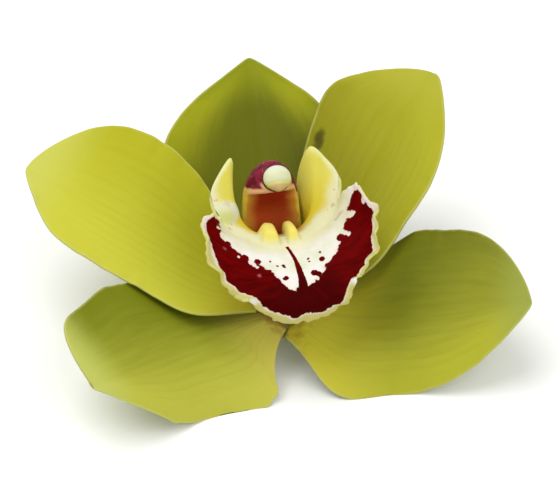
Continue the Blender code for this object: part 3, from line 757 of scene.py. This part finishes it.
def egg(centre, semi, mesh, form=None):
    """Egg-shaped body with its pole along the cap's facing direction."""
    polar = np.linspace(0, np.pi, mesh[0] + 2)[:, None]
    around = full_turn(mesh[1])[None, :]
    x = np.sin(polar) * np.cos(around)
    y = np.sin(polar) * np.sin(around)
    local = np.stack([x, y, np.cos(polar) + 0 * around], -1)
    if form:
        local *= form(*np.moveaxis(local, -1, 0))[..., None]
    rings = centre + (local * semi) @ cap_axes()
    return closed_rings(rings[1:-1], rings[0, 0], rings[-1, 0])


def cap_form(x, y, z):
    """How far out the cap's skin lies on a unit ball, with a lobed beak below a crease."""
    beak = CAP_BEAK * bell(x, CAP_BEAK_WIDTH) * bell(y - CAP_BEAK_LEVEL, CAP_BEAK_WIDTH)
    crease = CAP_CREASE * bell(y - CAP_CREASE_LEVEL, CAP_CREASE_WIDTH)
    below = rise_between(CAP_CREASE_LEVEL, CAP_BEAK_LEVEL, y)
    lobes = CAP_LOBE * below * np.cos(CAP_LOBES * np.pi * x)
    return 1 + beak - (crease - lobes) * np.clip(z, 0, 1)


def apply_boolean(piece, tool, operation):
    modifier = piece.modifiers.new("cut", "BOOLEAN")
    modifier.operation = operation
    modifier.solver = "EXACT"
    modifier.object = tool
    bpy.context.view_layer.objects.active = piece
    bpy.ops.object.modifier_apply(modifier=modifier.name)
    bpy.data.objects.remove(tool, do_unlink=True)


def hub_points(piece):
    """The piece's points about the hub, in millimetres."""
    points = np.zeros(len(piece.data.vertices) * 3, np.float32)
    piece.data.vertices.foreach_get("co", points)
    return points.reshape(-1, 3) / MM - HUB


def column_fields(points):
    """Place along the column, share across it and back to front, and depth in the recess."""
    u = np.linspace(0, 1, CURVE_STEPS)
    centre, dorsal = column_line(u)
    away = (points[:, 1:2] - centre[:, 1]) ** 2 + (points[:, 2:] - centre[:, 2]) ** 2
    nearest = away.argmin(1)
    depth = np.einsum("ij,ij->i", points - centre[nearest], dorsal[nearest])
    half_width = smooth_through(COLUMN_HALF_WIDTH, u[nearest])
    across = (points[:, 0] - centre[nearest, 0]) / half_width
    lower = np.where(depth < 0, np.sqrt(np.clip(1 - across**2, 0.0, 1.0)), 0.0)
    tilt = LEDGE_LEFT_RISE * np.clip(-across, 0.0, 1.0) ** 2
    tilt -= LEDGE_RIGHT_DROP * rise_between(*LEDGE_RIGHT_END, across)
    axes = cap_axes()
    recess = (points - CAP_CENTRE + RECESS_DEPTH * axes[2]) @ axes.T / RECESS_SEMI
    return {
        "along": u[nearest],
        "across": across,
        "dorsal": depth,
        "above_ledge": u[nearest] - COLUMN_LEDGE_PLACE - COLUMN_LEDGE_RISE * lower - tilt,
        "recess": 1.0 - np.linalg.norm(recess, axis=1),
    }


def make_column():
    column = dress("column", column_body(), column_material())
    middle = CAP_CENTRE - RECESS_DEPTH * cap_axes()[2]
    tool = add_piece("recess", egg(middle, RECESS_SEMI, RECESS_MESH))
    apply_boolean(column, tool, "DIFFERENCE")
    set_fields(column, column_fields(hub_points(column)))


def make_cap():
    body = egg(CAP_CENTRE, CAP_SEMI + CAP_SWELL, CAP_MESH, cap_form)
    cap = dress("anther_cap", body, cap_material())
    local = (hub_points(cap) - CAP_CENTRE) @ cap_axes().T / CAP_SEMI
    set_fields(cap, {"upward": local[:, 1]})


def make_pollinarium():
    disc = egg(CAP_CENTRE + DISC_PLACE @ cap_axes(), DISC_SEMI, DISC_MESH)
    piece = dress("pollinarium", disc, pollen_material())
    for place in POLLINIUM_PLACES:
        lump = egg(CAP_CENTRE + place @ cap_axes(), POLLINIUM_SEMI, POLLINIUM_MESH)
        apply_boolean(piece, add_piece("pollinium", lump), "UNION")


def receptacle_body():
    u = np.linspace(0, 1, RECEPTACLE_RINGS)
    around = full_turn(RECEPTACLE_SIDES)
    radius = smooth_through(RECEPTACLE_RADIUS, u)[:, None]
    level = smooth_through(RECEPTACLE_LEVEL, u)[:, None]
    x = radius * np.cos(around)
    y = radius * np.sin(around)
    y = np.where(y < 0, y * RECEPTACLE_FOOT, y)
    rings = np.stack([x, y, level + 0 * x], -1)
    return closed_rings(rings, (0, 0, RECEPTACLE_LEVEL[0]), (0, 0, RECEPTACLE_LEVEL[-1]))


def stalk_line(u):
    """Points of the stalk's axis at u, and the directions to its side and its upper side."""
    along = heading(angle_through(STALK_SWAY, u), -angle_through(STALK_DROP, u))
    centre = swept_line(STALK_START, STALK_LENGTH, along)
    side = unit(np.cross(along, [0, 0, 1]))
    return centre, side, np.cross(side, along)


def ribbed_stalk_body():
    u = np.linspace(0, 1, STALK_RINGS)
    centre, side, upper = stalk_line(u)
    around = full_turn(STALK_SIDES)
    ribs = 1 - STALK_RIB * np.cos(STALK_RIBS * around)[None, :] * (1 - STALK_RIB_FADE * u)[:, None]
    radius = smooth_through(STALK_RADIUS, u)[:, None] * ribs
    rings = centre[:, None] + (radius * np.cos(around))[..., None] * side[:, None]
    rings += (radius * np.sin(around))[..., None] * upper[:, None]
    return closed_rings(rings, centre[0], centre[-1])


def stalk_fields(points):
    """Place along the stalk, distance from its axis, and distance short of its cut end."""
    centre = stalk_line(np.linspace(0, 1, STALK_RINGS))[0]
    along = unit(centre[-1:] - centre[-2:-1])[0]
    end = centre[-1]
    u = (points[:, 1] - centre[0, 1]) / (end[1] - centre[0, 1])
    axis = line_at(points[:, 1], centre[:, 1], centre)
    return {
        "along": u,
        "radius": np.linalg.norm(points - axis, axis=1),
        "short": (end - points) @ along,
    }


def make_stalk():
    stalk = dress("stalk", receptacle_body(), stalk_material())
    apply_boolean(stalk, add_piece("stalk_run", ribbed_stalk_body()), "UNION")
    set_fields(stalk, stalk_fields(hub_points(stalk)))


class Skin:
    """A node material in the making: each method adds nodes, and most give their output.

    A value is a number, a node's output or the name of one of the piece's fields. Sizes are
    in millimetres. A shine of 0.5 is that of common plastic.
    """

    def __init__(self, name, roughness, colour, shine=0.5):
        self.material = bpy.data.materials.new(name)
        self.material.use_nodes = True
        self.tree = self.material.node_tree
        self.inputs = self.tree.nodes["Principled BSDF"].inputs
        self.feed(self.inputs, {"Roughness": roughness, "Specular IOR Level": shine})
        self.place = self.node("TexCoord")["Object"]
        self.colour = colour

    def feed(self, inputs, values):
        for name, value in values.items():
            if isinstance(value, str):
                value = self.node("Attribute", attribute_name=value)["Fac"]
            if isinstance(value, bpy.types.NodeSocket):
                self.tree.links.new(value, inputs[name])
            else:
                inputs[name].default_value = value

    def node(self, kind, inputs=None, **settings):
        """Outputs of a new node."""
        node = self.tree.nodes.new("ShaderNode" + kind)
        for name, value in settings.items():
            setattr(node, name, value)
        self.feed(node.inputs, inputs or {})
        return node.outputs

    def math(self, operation, first, *others):
        """Sum, product or the like of two or more values, taken in turn."""
        for other in others:
            first = self.node("Math", {0: first, 1: other}, operation=operation)[0]
        return first

    def add(self, *values):
        return self.math("ADD", *values)

    def times(self, *values):
        return self.math("MULTIPLY", *values)

    def most(self, *values):
        return self.math("MAXIMUM", *values)

    def unsigned(self, value):
        return self.math("ABSOLUTE", value, 0.0)

    def wave(self, value, count):
        """Sine of the value, with count waves to each unit of it."""
        return self.math("SINE", self.times(value, 2 * np.pi * count), 0.0)

    def step(self, value, low, high, ragged=None):
        """0 where the value is at low, 1 where it is at high, and smooth between.

        Noise of the ragged size and amount makes the border between them uneven.
        """
        if ragged:
            value = self.add(value, self.signed_noise(*ragged))
        inputs = {"Value": value, "From Min": min(low, high), "From Max": max(low, high)}
        inputs |= {"To Min": float(low > high), "To Max": float(low < high)}
        return self.node("MapRange", inputs, interpolation_type="SMOOTHSTEP")["Result"]

    def point(self, x, y):
        return self.node("CombineXYZ", {0: x, 1: y})[0]

    def noise(self, size, detail=2.0, place=None):
        """Noise from 0 to 1 whose lumps are about the given size."""
        inputs = {"Vector": place or self.place, "Scale": 1.0 / (size * MM), "Detail": detail}
        return self.node("TexNoise", inputs)["Fac"]

    def signed_noise(self, size, amount, detail=2.0, place=None):
        """Noise of about plus and minus the given amount."""
        return self.times(self.add(self.noise(size, detail, place), -0.5), 2.0 * amount)

    def cells(self, size):
        """Distance to the nearest cell centre, for cells of the given size."""
        inputs = {"Vector": self.place, "Scale": 1.0 / (size * MM)}
        return self.node("TexVoronoi", inputs)["Distance"]

    def mix(self, share, first, second):
        inputs = {0: share, 6: first, 7: second}
        for number in (6, 7):
            if isinstance(inputs[number], tuple):
                inputs[number] = (*inputs[number], 1.0)
        return self.node("Mix", inputs, data_type="RGBA")[2]

    def coat(self, colour, share, amount=1.0):
        """Lay a colour over those before it, where its share shows."""
        self.colour = self.mix(self.times(share, amount), self.colour, colour)

    def bump(self, depth, *parts):
        """Raise the surface by values times their weights, where one unit is the depth."""
        height = self.add(*[self.times(*part) for part in parts])
        inputs = {"Strength": 1.0, "Distance": depth * MM, "Height": height}
        self.feed(self.inputs, {"Normal": self.node("Bump", inputs)["Normal"]})

    def rough(self, least, amount, size, detail=3.0):
        """Roughness that varies by noise of the given size."""
        varied = self.add(least, self.times(self.noise(size, detail), amount))
        self.feed(self.inputs, {"Roughness": varied})

    def juicy(self, weight, radius, scale):
        """Let light spread a little inside the surface."""
        values = {"Weight": weight, "Radius": radius, "Scale": scale * MM}
        self.feed(self.inputs, {"Subsurface " + name: value for name, value in values.items()})

    def painted(self, back=None):
        """The finished material, in the colours laid so far and a colour for a sheet's back."""
        if back:
            self.colour = self.mix(self.step("front", 0.2, 0.8), back, self.colour)
        self.feed(self.inputs, {"Base Color": self.colour})
        return self.material


# Looks of each blade: its colours, how far along it the base's colour reaches, how much of the
# red blush its base has, and how far its deep colour shows: at its middle, across it towards
# its higher side, near its midrib and along it. The colours hold painted light: they are partly
# the blade's own and partly set lighter or darker for how light falls on it, lit on the left
# petal and shaded on the right petal and the dorsal sepal. The deep colour is partly the blade's
# own darker green and partly painted shade, with the painted shadows that the petals and the lip
# cast on the sepals. The lateral sepals' base colours are lightened as painted light over the
# lip's shadow
Blade = namedtuple("Blade", "pale deep tip base base_reach back blush level lean middle slope")
BLADES = {
    DORSAL_SEPAL: Blade(
        (0.3, 0.31, 0.007), (0.112, 0.119, 0.002), (0.22, 0.24, 0.005), (0.2, 0.18, 0.005), 0.3,
        (0.26, 0.3, 0.02), 0.0, 0.1, 0.0, 1.0, -1.9,
    ),
    PETAL_LEFT: Blade(
        (0.5, 0.49, 0.04), (0.38, 0.37, 0.012), (0.5, 0.51, 0.09), (0.47, 0.41, 0.026), 0.25,
        (0.36, 0.39, 0.04), 0.0, 0.35, 0.6, 0.0, -0.8,
    ),
    PETAL_RIGHT: Blade(
        (0.36, 0.35, 0.014), (0.2, 0.19, 0.003), (0.38, 0.37, 0.03), (0.29, 0.27, 0.008), 0.2,
        (0.26, 0.29, 0.03), 0.0, 0.35, -0.3, 0.05, -1.2,
    ),
    LATERAL_SEPAL_LEFT: Blade(
        (0.43, 0.43, 0.05), (0.16, 0.18, 0.006), (0.45, 0.48, 0.1), (0.58, 0.5, 0.09), 0.35,
        (0.34, 0.37, 0.05), 0.6, 0.46, 0.55, 0.0, -0.3,
    ),
    LATERAL_SEPAL_RIGHT: Blade(
        (0.38, 0.38, 0.028), (0.12, 0.13, 0.003), (0.28, 0.31, 0.05), (0.56, 0.5, 0.04), 0.45,
        (0.28, 0.32, 0.03), 0.5, 0.4, -0.4, 0.1, -0.4,
    ),
}
PALE_MARGIN = (0.48, 0.47, 0.16)
BLUSH_RED = (0.22, 0.045, 0.008)
VEIN_SHADE = (0.12, 0.14, 0.004)
VEIN_WAVES = 7.5

# A dark blemish near the right petal's margin: where it lies along and across the blade, and
# its half length and half width there
BLEMISH = (0.555, -0.85, 0.05, 0.08)
BLEMISH_BROWN = (0.045, 0.028, 0.002)


def deep_and_shade_share(skin, blade, streak):
    """How far the blade's deep colour shows: partly its own darker green, partly painted shade and the
    painted shadows that the petals and the lip cast.
    """
    share = skin.add(
        skin.times("across", blade.lean),
        skin.times(skin.step(skin.unsigned("across"), 1.0, 0.1), blade.middle),
        skin.times(skin.add("along", -0.7), blade.slope),
        skin.times(skin.add(streak, -0.5), 0.22),
        skin.signed_noise(22, 0.12, 1.0),
        blade.level,
    )
    return skin.step(share, 0.0, 1.0)


def vein_lines(skin):
    """Fine lengthwise veins, fading out at the margins and the tip."""
    vein = skin.wave(skin.add("across", skin.signed_noise(12, 0.02)), VEIN_WAVES)
    vein = skin.math("POWER", skin.most(vein, 0.0), 3.0)
    inner = skin.step(skin.unsigned("across"), 0.95, 0.5)
    return skin.times(vein, inner, skin.step("along", 0.95, 0.55))


def blemish_share(skin):
    """How far the dark blemish shows."""
    along, across, length, width = BLEMISH
    down = skin.times(skin.add("along", -along), 1 / length)
    aside = skin.times(skin.add("across", -across), 1 / width)
    away = skin.add(skin.times(down, down), skin.times(aside, aside))
    return skin.step(away, 1.3, 0.0, (1.5, 0.6))


def blade_material(tepal, blade):
    """Waxy blade in soft lengthwise streaks of green and yellow, with faint veins and a pale margin, and
    painted shade and light in its colours.
    """
    skin = Skin(tepal.name + "_skin", 0.45, blade.pale, 0.08)
    streak_place = skin.point(skin.times("across", 0.02), skin.times("along", 0.007))
    streak = skin.noise(1.6, 2.0, streak_place)
    vein = vein_lines(skin)
    # Deep colour: partly the blade's own darker green, partly painted shade and painted cast shadow.
    skin.coat(blade.deep, deep_and_shade_share(skin, blade, streak))
    skin.coat(blade.tip, skin.step("along", 0.78, 1.0))
    # Base colour: on the lateral sepals it is lightened as painted light over the lip's shadow.
    skin.coat(blade.base, skin.step("along", blade.base_reach, 0.02))
    skin.coat(VEIN_SHADE, vein, 0.06)
    skin.coat(BLUSH_RED, skin.step("along", 0.07, 0.0, (2.5, 0.07)), blade.blush)
    if tepal is PETAL_RIGHT:
        skin.coat(BLEMISH_BROWN, blemish_share(skin), 0.8)
    skin.coat(PALE_MARGIN, skin.step("edge", 0.8, 0.05, (2, 0.25)), 0.5)
    skin.bump(0.15, (vein, -0.25), (skin.cells(0.35), 0.08), (skin.noise(6, 3.0), 0.7), (streak, 0.2))
    skin.rough(0.38, 0.16, 3)
    skin.juicy(0.1, (1.0, 0.9, 0.15), 1.2)
    return skin.painted(blade.back)


LIP_WHITE = (0.74, 0.71, 0.66)
LIP_SHADE = (0.62, 0.63, 0.45)
LIP_TINT = (0.66, 0.64, 0.3)
LIP_CREAM = (0.46, 0.42, 0.1)
LIP_YELLOW = (0.66, 0.56, 0.07)
LIP_GREENISH = (0.62, 0.58, 0.1)
LIP_GOLD = (0.6, 0.47, 0.02)
FOLD_GREEN = (0.56, 0.58, 0.16)
FOLD_BROWN = (0.36, 0.22, 0.16)
LOBE_EDGE = (0.72, 0.72, 0.36)
KEEL_YELLOW = (0.76, 0.66, 0.14)
THROAT_ORANGE = (0.4, 0.2, 0.02)
LIP_MAROON = (0.13, 0.0002, 0.0004)
LIP_DARK_MAROON = (0.05, 0.0002, 0.0003)
LIP_BACK = (0.56, 0.55, 0.18)
LIP_PINK = (0.6, 0.18, 0.2)


def lobe_colour(skin):
    """Yellow of the side lobes, pale at their rims and golden near the column."""
    yellow = skin.mix(skin.noise(6), LIP_YELLOW, LIP_GREENISH)
    rim = skin.times(skin.step("edge", 2.6, 0.4, (2, 0.8)), skin.step("place", 0.28, 0.36))
    yellow = skin.mix(rim, yellow, LOBE_EDGE)
    return skin.mix(skin.step("aside", 20.0, 10.0, (4, 1.5)), yellow, LIP_GOLD)


def coat_fold(skin):
    """The fold at the foot of the left side lobe, with its green and its brown side."""
    skin.coat(LIP_SHADE, skin.step("fold", 0.0, 0.4))
    skin.coat(FOLD_GREEN, skin.step("fold_green", 1.5, 0.3), 0.8)
    skin.coat(FOLD_BROWN, skin.step("fold_brown", 1.0, 0.3, (1, 0.3)), 0.4)


def coat_freckles(skin):
    """Pink freckles between the side lobes and the disc."""
    freckle = skin.step(skin.noise(1.3), 0.66, 0.72)
    behind = skin.times(skin.step("place", 0.56, 0.5), skin.step("aside", 8.0, 12.0))
    skin.coat(LIP_PINK, skin.times(freckle, behind, skin.step("place", 0.36, 0.42)), 0.8)


def coat_band(skin):
    """The maroon band with its line, dots and bays, the specks, blush and cream beside it, and a painted
    highlight on the margin's curled folds.
    """
    radial = skin.point(skin.times("around", 0.09), skin.times("aside", 0.0003))
    border = skin.add(
        "border", skin.signed_noise(1.2, 0.7, 1.0), skin.signed_noise(0.9, 0.6, 2.0, radial)
    )
    rim = skin.add("band", skin.signed_noise(1.4, 0.4), skin.signed_noise(0.8, 0.4, 2.0, radial))
    outside = skin.step(rim, -0.15, 0.15)
    shoulder = skin.step("place", *BAND_SHOULDER, (1.2, 0.02))
    line = skin.step("median", -0.08, 0.08, (0.8, 0.15))
    dots = skin.step("dots", -0.08, 0.08, (0.6, 0.25))
    marks = skin.times(skin.most(line, dots), outside)
    band = skin.most(skin.times(skin.step(border, -0.15, 0.15), outside, shoulder), marks)
    band = skin.times(band, skin.step("bays", 0.1, -0.1, (0.6, 0.25)))
    speck = skin.step("specks", -0.35, 0.2, (0.6, 0.3))
    skin.coat(FOLD_BROWN, speck, 0.45)
    skin.coat(LIP_PINK, skin.times(skin.step(border, -1.1, 0.0), shoulder), 0.16)
    cream = skin.step(skin.times("band", skin.step("place", 0.62, 0.85)), 0.2, -0.8)
    skin.coat(LIP_CREAM, cream, 0.9)
    # Painted highlight: the disc's white laid on the margin's two curled folds.
    skin.coat(LIP_WHITE, skin.step("curl", 0.1, 0.5))
    front = skin.step(skin.unsigned("around"), 0.3, 0.05)
    dark = skin.add(skin.times(front, 0.5), skin.noise(1.5, 4.0, radial))
    maroon = skin.mix(skin.step(dark, 0.25, 0.95), LIP_MAROON, LIP_DARK_MAROON)
    skin.coat(skin.mix(skin.times(speck, 0.4), maroon, LIP_PINK), band)


def lip_material():
    """White disc with pale keels, yellow side lobes, a jagged maroon band and a cream frill."""
    skin = Skin("lip_skin", 0.5, LIP_WHITE, 0.015)
    skin.coat(LIP_SHADE, skin.step(skin.noise(5, 3.0), 0.35, 0.75))
    skin.coat(LIP_TINT, skin.step("place", 0.66, 0.5, (4, 0.04)), 0.6)
    skin.coat(lobe_colour(skin), skin.step("place", 0.43, 0.36, (4, 0.03)))
    throat = skin.times(skin.step("place", 0.45, 0.4), skin.step("aside", 7.0, 4.0))
    skin.coat(THROAT_ORANGE, throat, 0.8)
    skin.coat(KEEL_YELLOW, skin.step("keel", 0.0, 1.8, (2, 0.2)))
    coat_fold(skin)
    coat_freckles(skin)
    coat_band(skin)
    skin.bump(0.12, (skin.noise(1.4), 0.6), (skin.cells(0.3), 0.15))
    skin.rough(0.42, 0.2, 2)
    skin.juicy(0.03, (1.0, 0.8, 0.4), 0.8)
    return skin.painted(LIP_BACK)


HOOD_CRIMSON = (0.085, 0.001, 0.006)
HOOD_MAGENTA = (0.21, 0.006, 0.026)
# Pink of the hood's blotches, which also paints glints of light on it.
HOOD_PINK_AND_GLINT = (0.5, 0.17, 0.24)
COLUMN_BRICK = (0.4, 0.06, 0.008)
COLUMN_RED = (0.25, 0.014, 0.003)
COLUMN_ORANGE = (0.5, 0.23, 0.025)
COLUMN_YELLOW = (0.66, 0.5, 0.05)
LEDGE_PINK = (0.6, 0.31, 0.15)
LEDGE_YELLOW = (0.5, 0.38, 0.09)
# Pink of the recess round the cap, lightened as painted light against the shade in the gap.
RECESS_PINK_PAINTED_LIGHT = (0.62, 0.24, 0.2)


def hood_colour(skin):
    """Crimson in magenta clouds, with pink flecks that are partly the hood's own blotches and partly painted
    glints of light.
    """
    hood = skin.mix(skin.step(skin.noise(2.2), 0.42, 0.6), HOOD_CRIMSON, HOOD_MAGENTA)
    # Flecks: partly pink blotches, partly painted glints.
    fleck_and_glint = skin.step(skin.noise(0.9, 3.0), 0.6, 0.74)
    return skin.mix(skin.times(fleck_and_glint, 0.7), hood, HOOD_PINK_AND_GLINT)


def ledge_colour(skin):
    return skin.mix(skin.step(skin.noise(1.6), 0.45, 0.6), LEDGE_PINK, LEDGE_YELLOW)


def column_material():
    """Crimson hood, a pale ledge, a red underside that turns orange at its sides, and a pink recess round the
    cap that is lightened as painted light.
    """
    skin = Skin("column_skin", 0.45, COLUMN_BRICK, 0.2)
    across = skin.unsigned(skin.add("across", skin.signed_noise(3, 0.12)))
    skin.coat(COLUMN_RED, skin.step("along", 0.55, 0.8))
    skin.coat(COLUMN_ORANGE, skin.step(across, 0.4, 0.95))
    skin.coat(COLUMN_YELLOW, skin.step(across, 0.8, 1.0))
    skin.coat(COLUMN_ORANGE, skin.step("along", 0.5, 0.3))
    back = skin.mix(skin.step("along", 0.45, 0.85), COLUMN_YELLOW, HOOD_CRIMSON)
    skin.coat(back, skin.step("dorsal", 0.4, 1.6))
    above = skin.add("above_ledge", skin.signed_noise(1.5, 0.006))
    skin.coat(hood_colour(skin), skin.step(above, 0.004, 0.02))
    top = skin.times(skin.step(above, 0.022, 0.008), skin.step("dorsal", 0.0, -0.8))
    below_cap = skin.times(skin.step("recess", -0.28, -0.12), skin.step(above, 0.06, 0.03))
    ledge = skin.times(skin.most(top, below_cap), skin.step(above, -0.022, -0.012))
    skin.coat(ledge_colour(skin), ledge)
    # Painted light: the recess wall is lightened pink against the shade round the cap.
    skin.coat(RECESS_PINK_PAINTED_LIGHT, skin.step("recess", -0.03, 0.03))
    skin.bump(0.12, (skin.noise(1.0, 3.0), 1.0), (skin.cells(0.3), 0.3))
    skin.rough(0.36, 0.2, 2, 2.0)
    return skin.painted()


CAP_PALE = (0.66, 0.7, 0.56)
CAP_CREAM = (0.6, 0.61, 0.36)
CAP_YELLOW = (0.58, 0.54, 0.13)


def cap_material():
    """Pale cap, yellow on its beak and coloured as the ledge at its foot."""
    skin = Skin("anther_cap_skin", 0.42, CAP_PALE, 0.3)
    upward = skin.add("upward", skin.signed_noise(1.0, 0.08))
    skin.coat(CAP_CREAM, skin.step(upward, 0.9, 0.0))
    skin.coat(CAP_YELLOW, skin.step(upward, -0.34, -0.48))
    skin.coat(ledge_colour(skin), skin.step(upward, -0.56, -0.72))
    skin.coat(CAP_CREAM, skin.noise(0.8, 3.0), 0.3)
    skin.bump(0.05, (skin.noise(0.7, 3.0), 1.0), (skin.cells(0.2), 1.0))
    skin.juicy(0.15, (1.0, 0.9, 0.5), 0.8)
    return skin.painted()


POLLEN_DEEP = (0.5, 0.34, 0.05)
POLLEN_YELLOW = (0.62, 0.48, 0.1)


def pollen_material():
    """Waxy yellow of the pollinia and their disc."""
    skin = Skin("pollinarium_skin", 0.4, POLLEN_DEEP, 0.3)
    skin.coat(POLLEN_YELLOW, skin.noise(0.6, 3.0))
    skin.bump(0.03, (skin.noise(0.3, 3.0), 1.0))
    return skin.painted()


STALK_GREEN = (0.3, 0.36, 0.07)
STALK_PALE = (0.4, 0.42, 0.11)
OVARY_YELLOW = (0.46, 0.44, 0.12)
FLECK_BROWN = (0.22, 0.1, 0.03)
CUT_PALE = (0.56, 0.58, 0.28)
CUT_RING = (0.44, 0.48, 0.18)
CUT_FIBRE = (0.3, 0.28, 0.1)


def stalk_material():
    """Green ribbed stalk with faint brown flecks and a pale, moist cut end."""
    skin = Skin("stalk_skin", 0.5, STALK_GREEN)
    skin.coat(STALK_PALE, skin.noise(4, 4.0))
    skin.coat(OVARY_YELLOW, skin.step("along", 0.4, 0.0))
    skin.coat(FLECK_BROWN, skin.step(skin.noise(0.9, 3.0), 0.66, 0.74), 0.6)
    flesh = skin.mix(skin.step(skin.wave("radius", 0.9), -0.4, 0.6), CUT_PALE, CUT_RING)
    fibres = skin.step(skin.cells(0.5), 0.35, 0.15)
    flesh = skin.mix(skin.times(fibres, 0.5), flesh, CUT_FIBRE)
    skin.coat(flesh, skin.step("short", 0.12, 0.02))
    skin.bump(0.08, (skin.noise(0.8, 4.0), 1.0), (skin.cells(0.3), 1.0))
    skin.rough(0.42, 0.2, 2)
    return skin.painted()


def make_tepals():
    for tepal, blade in BLADES.items():
        dress(tepal.name, tepal_body(tepal), blade_material(tepal, blade))


def make_floor():
    """Wide pale table top."""
    skin = Skin("floor", 0.6, FLOOR_PALE)
    skin.coat(FLOOR_WHITE, skin.noise(90))
    mesh = bpy.data.meshes.new("floor")
    corners = [(x * FLOOR_REACH, y * FLOOR_REACH, 0) for x, y in ((-1, -1), (1, -1), (1, 1), (-1, 1))]
    mesh.from_pydata(corners, [], [(0, 1, 2, 3)])
    mesh.materials.append(skin.painted())
    add_object("floor", mesh)


def camera_axes():
    turn = np.radians(CAMERA_AZIMUTH)
    lift = np.radians(CAMERA_ELEVATION)
    right = Vector((np.cos(turn), np.sin(turn), 0.0))
    back = Vector((np.sin(turn) * np.cos(lift), -np.cos(turn) * np.cos(lift), np.sin(lift)))
    return right, back.cross(right), back


def make_camera():
    """Camera aimed at the hub from the photograph's angle, shifted to put it at its pixel."""
    right, up, back = camera_axes()
    data = bpy.data.cameras.new("camera")
    data.sensor_width = SENSOR_WIDTH
    data.lens = SENSOR_WIDTH * CAMERA_DISTANCE * PIXELS_PER_MM / PICTURE_WIDTH
    data.shift_x = (PICTURE_WIDTH / 2 - HUB_PIXEL[0]) / PICTURE_WIDTH
    data.shift_y = (HUB_PIXEL[1] - PICTURE_HEIGHT / 2) / PICTURE_WIDTH
    data.clip_start = 0.01
    camera = add_object("camera", data)
    pose = Matrix((right, up, back)).transposed().to_4x4()
    pose.translation = Vector(HUB * MM) + back * (CAMERA_DISTANCE * MM)
    camera.matrix_world = pose
    bpy.context.scene.camera = camera


def add_light(name, place, power):
    """Soft light that faces the bloom from a place given in the camera's own directions."""
    right, up, back = camera_axes()
    target = Vector(HUB * MM)
    data = bpy.data.lights.new(name, "AREA")
    data.shape = "DISK"
    data.size = LIGHT_SIZE
    data.energy = power
    light = add_object(name, data)
    light.location = target + right * place[0] + up * place[1] + back * place[2]
    light.rotation_euler = (light.location - target).to_track_quat("Z", "Y").to_euler()


def make_lights():
    add_light("key_light", KEY_PLACE, KEY_POWER)
    add_light("fill_light", FILL_PLACE, FILL_POWER)
    world = bpy.data.worlds.new("studio")
    world.use_nodes = True
    background = world.node_tree.nodes["Background"]
    background.inputs["Color"].default_value = (1.0, 1.0, 1.0, 1.0)
    background.inputs["Strength"].default_value = SKY_STRENGTH
    bpy.context.scene.world = world
    bpy.context.scene.view_settings.view_transform = "Standard"


def main():
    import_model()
    make_tepals()
    dress("lip", lip_body(), lip_material())
    make_column()
    make_cap()
    make_pollinarium()
    make_stalk()
    make_floor()
    make_lights()
    make_camera()


main()
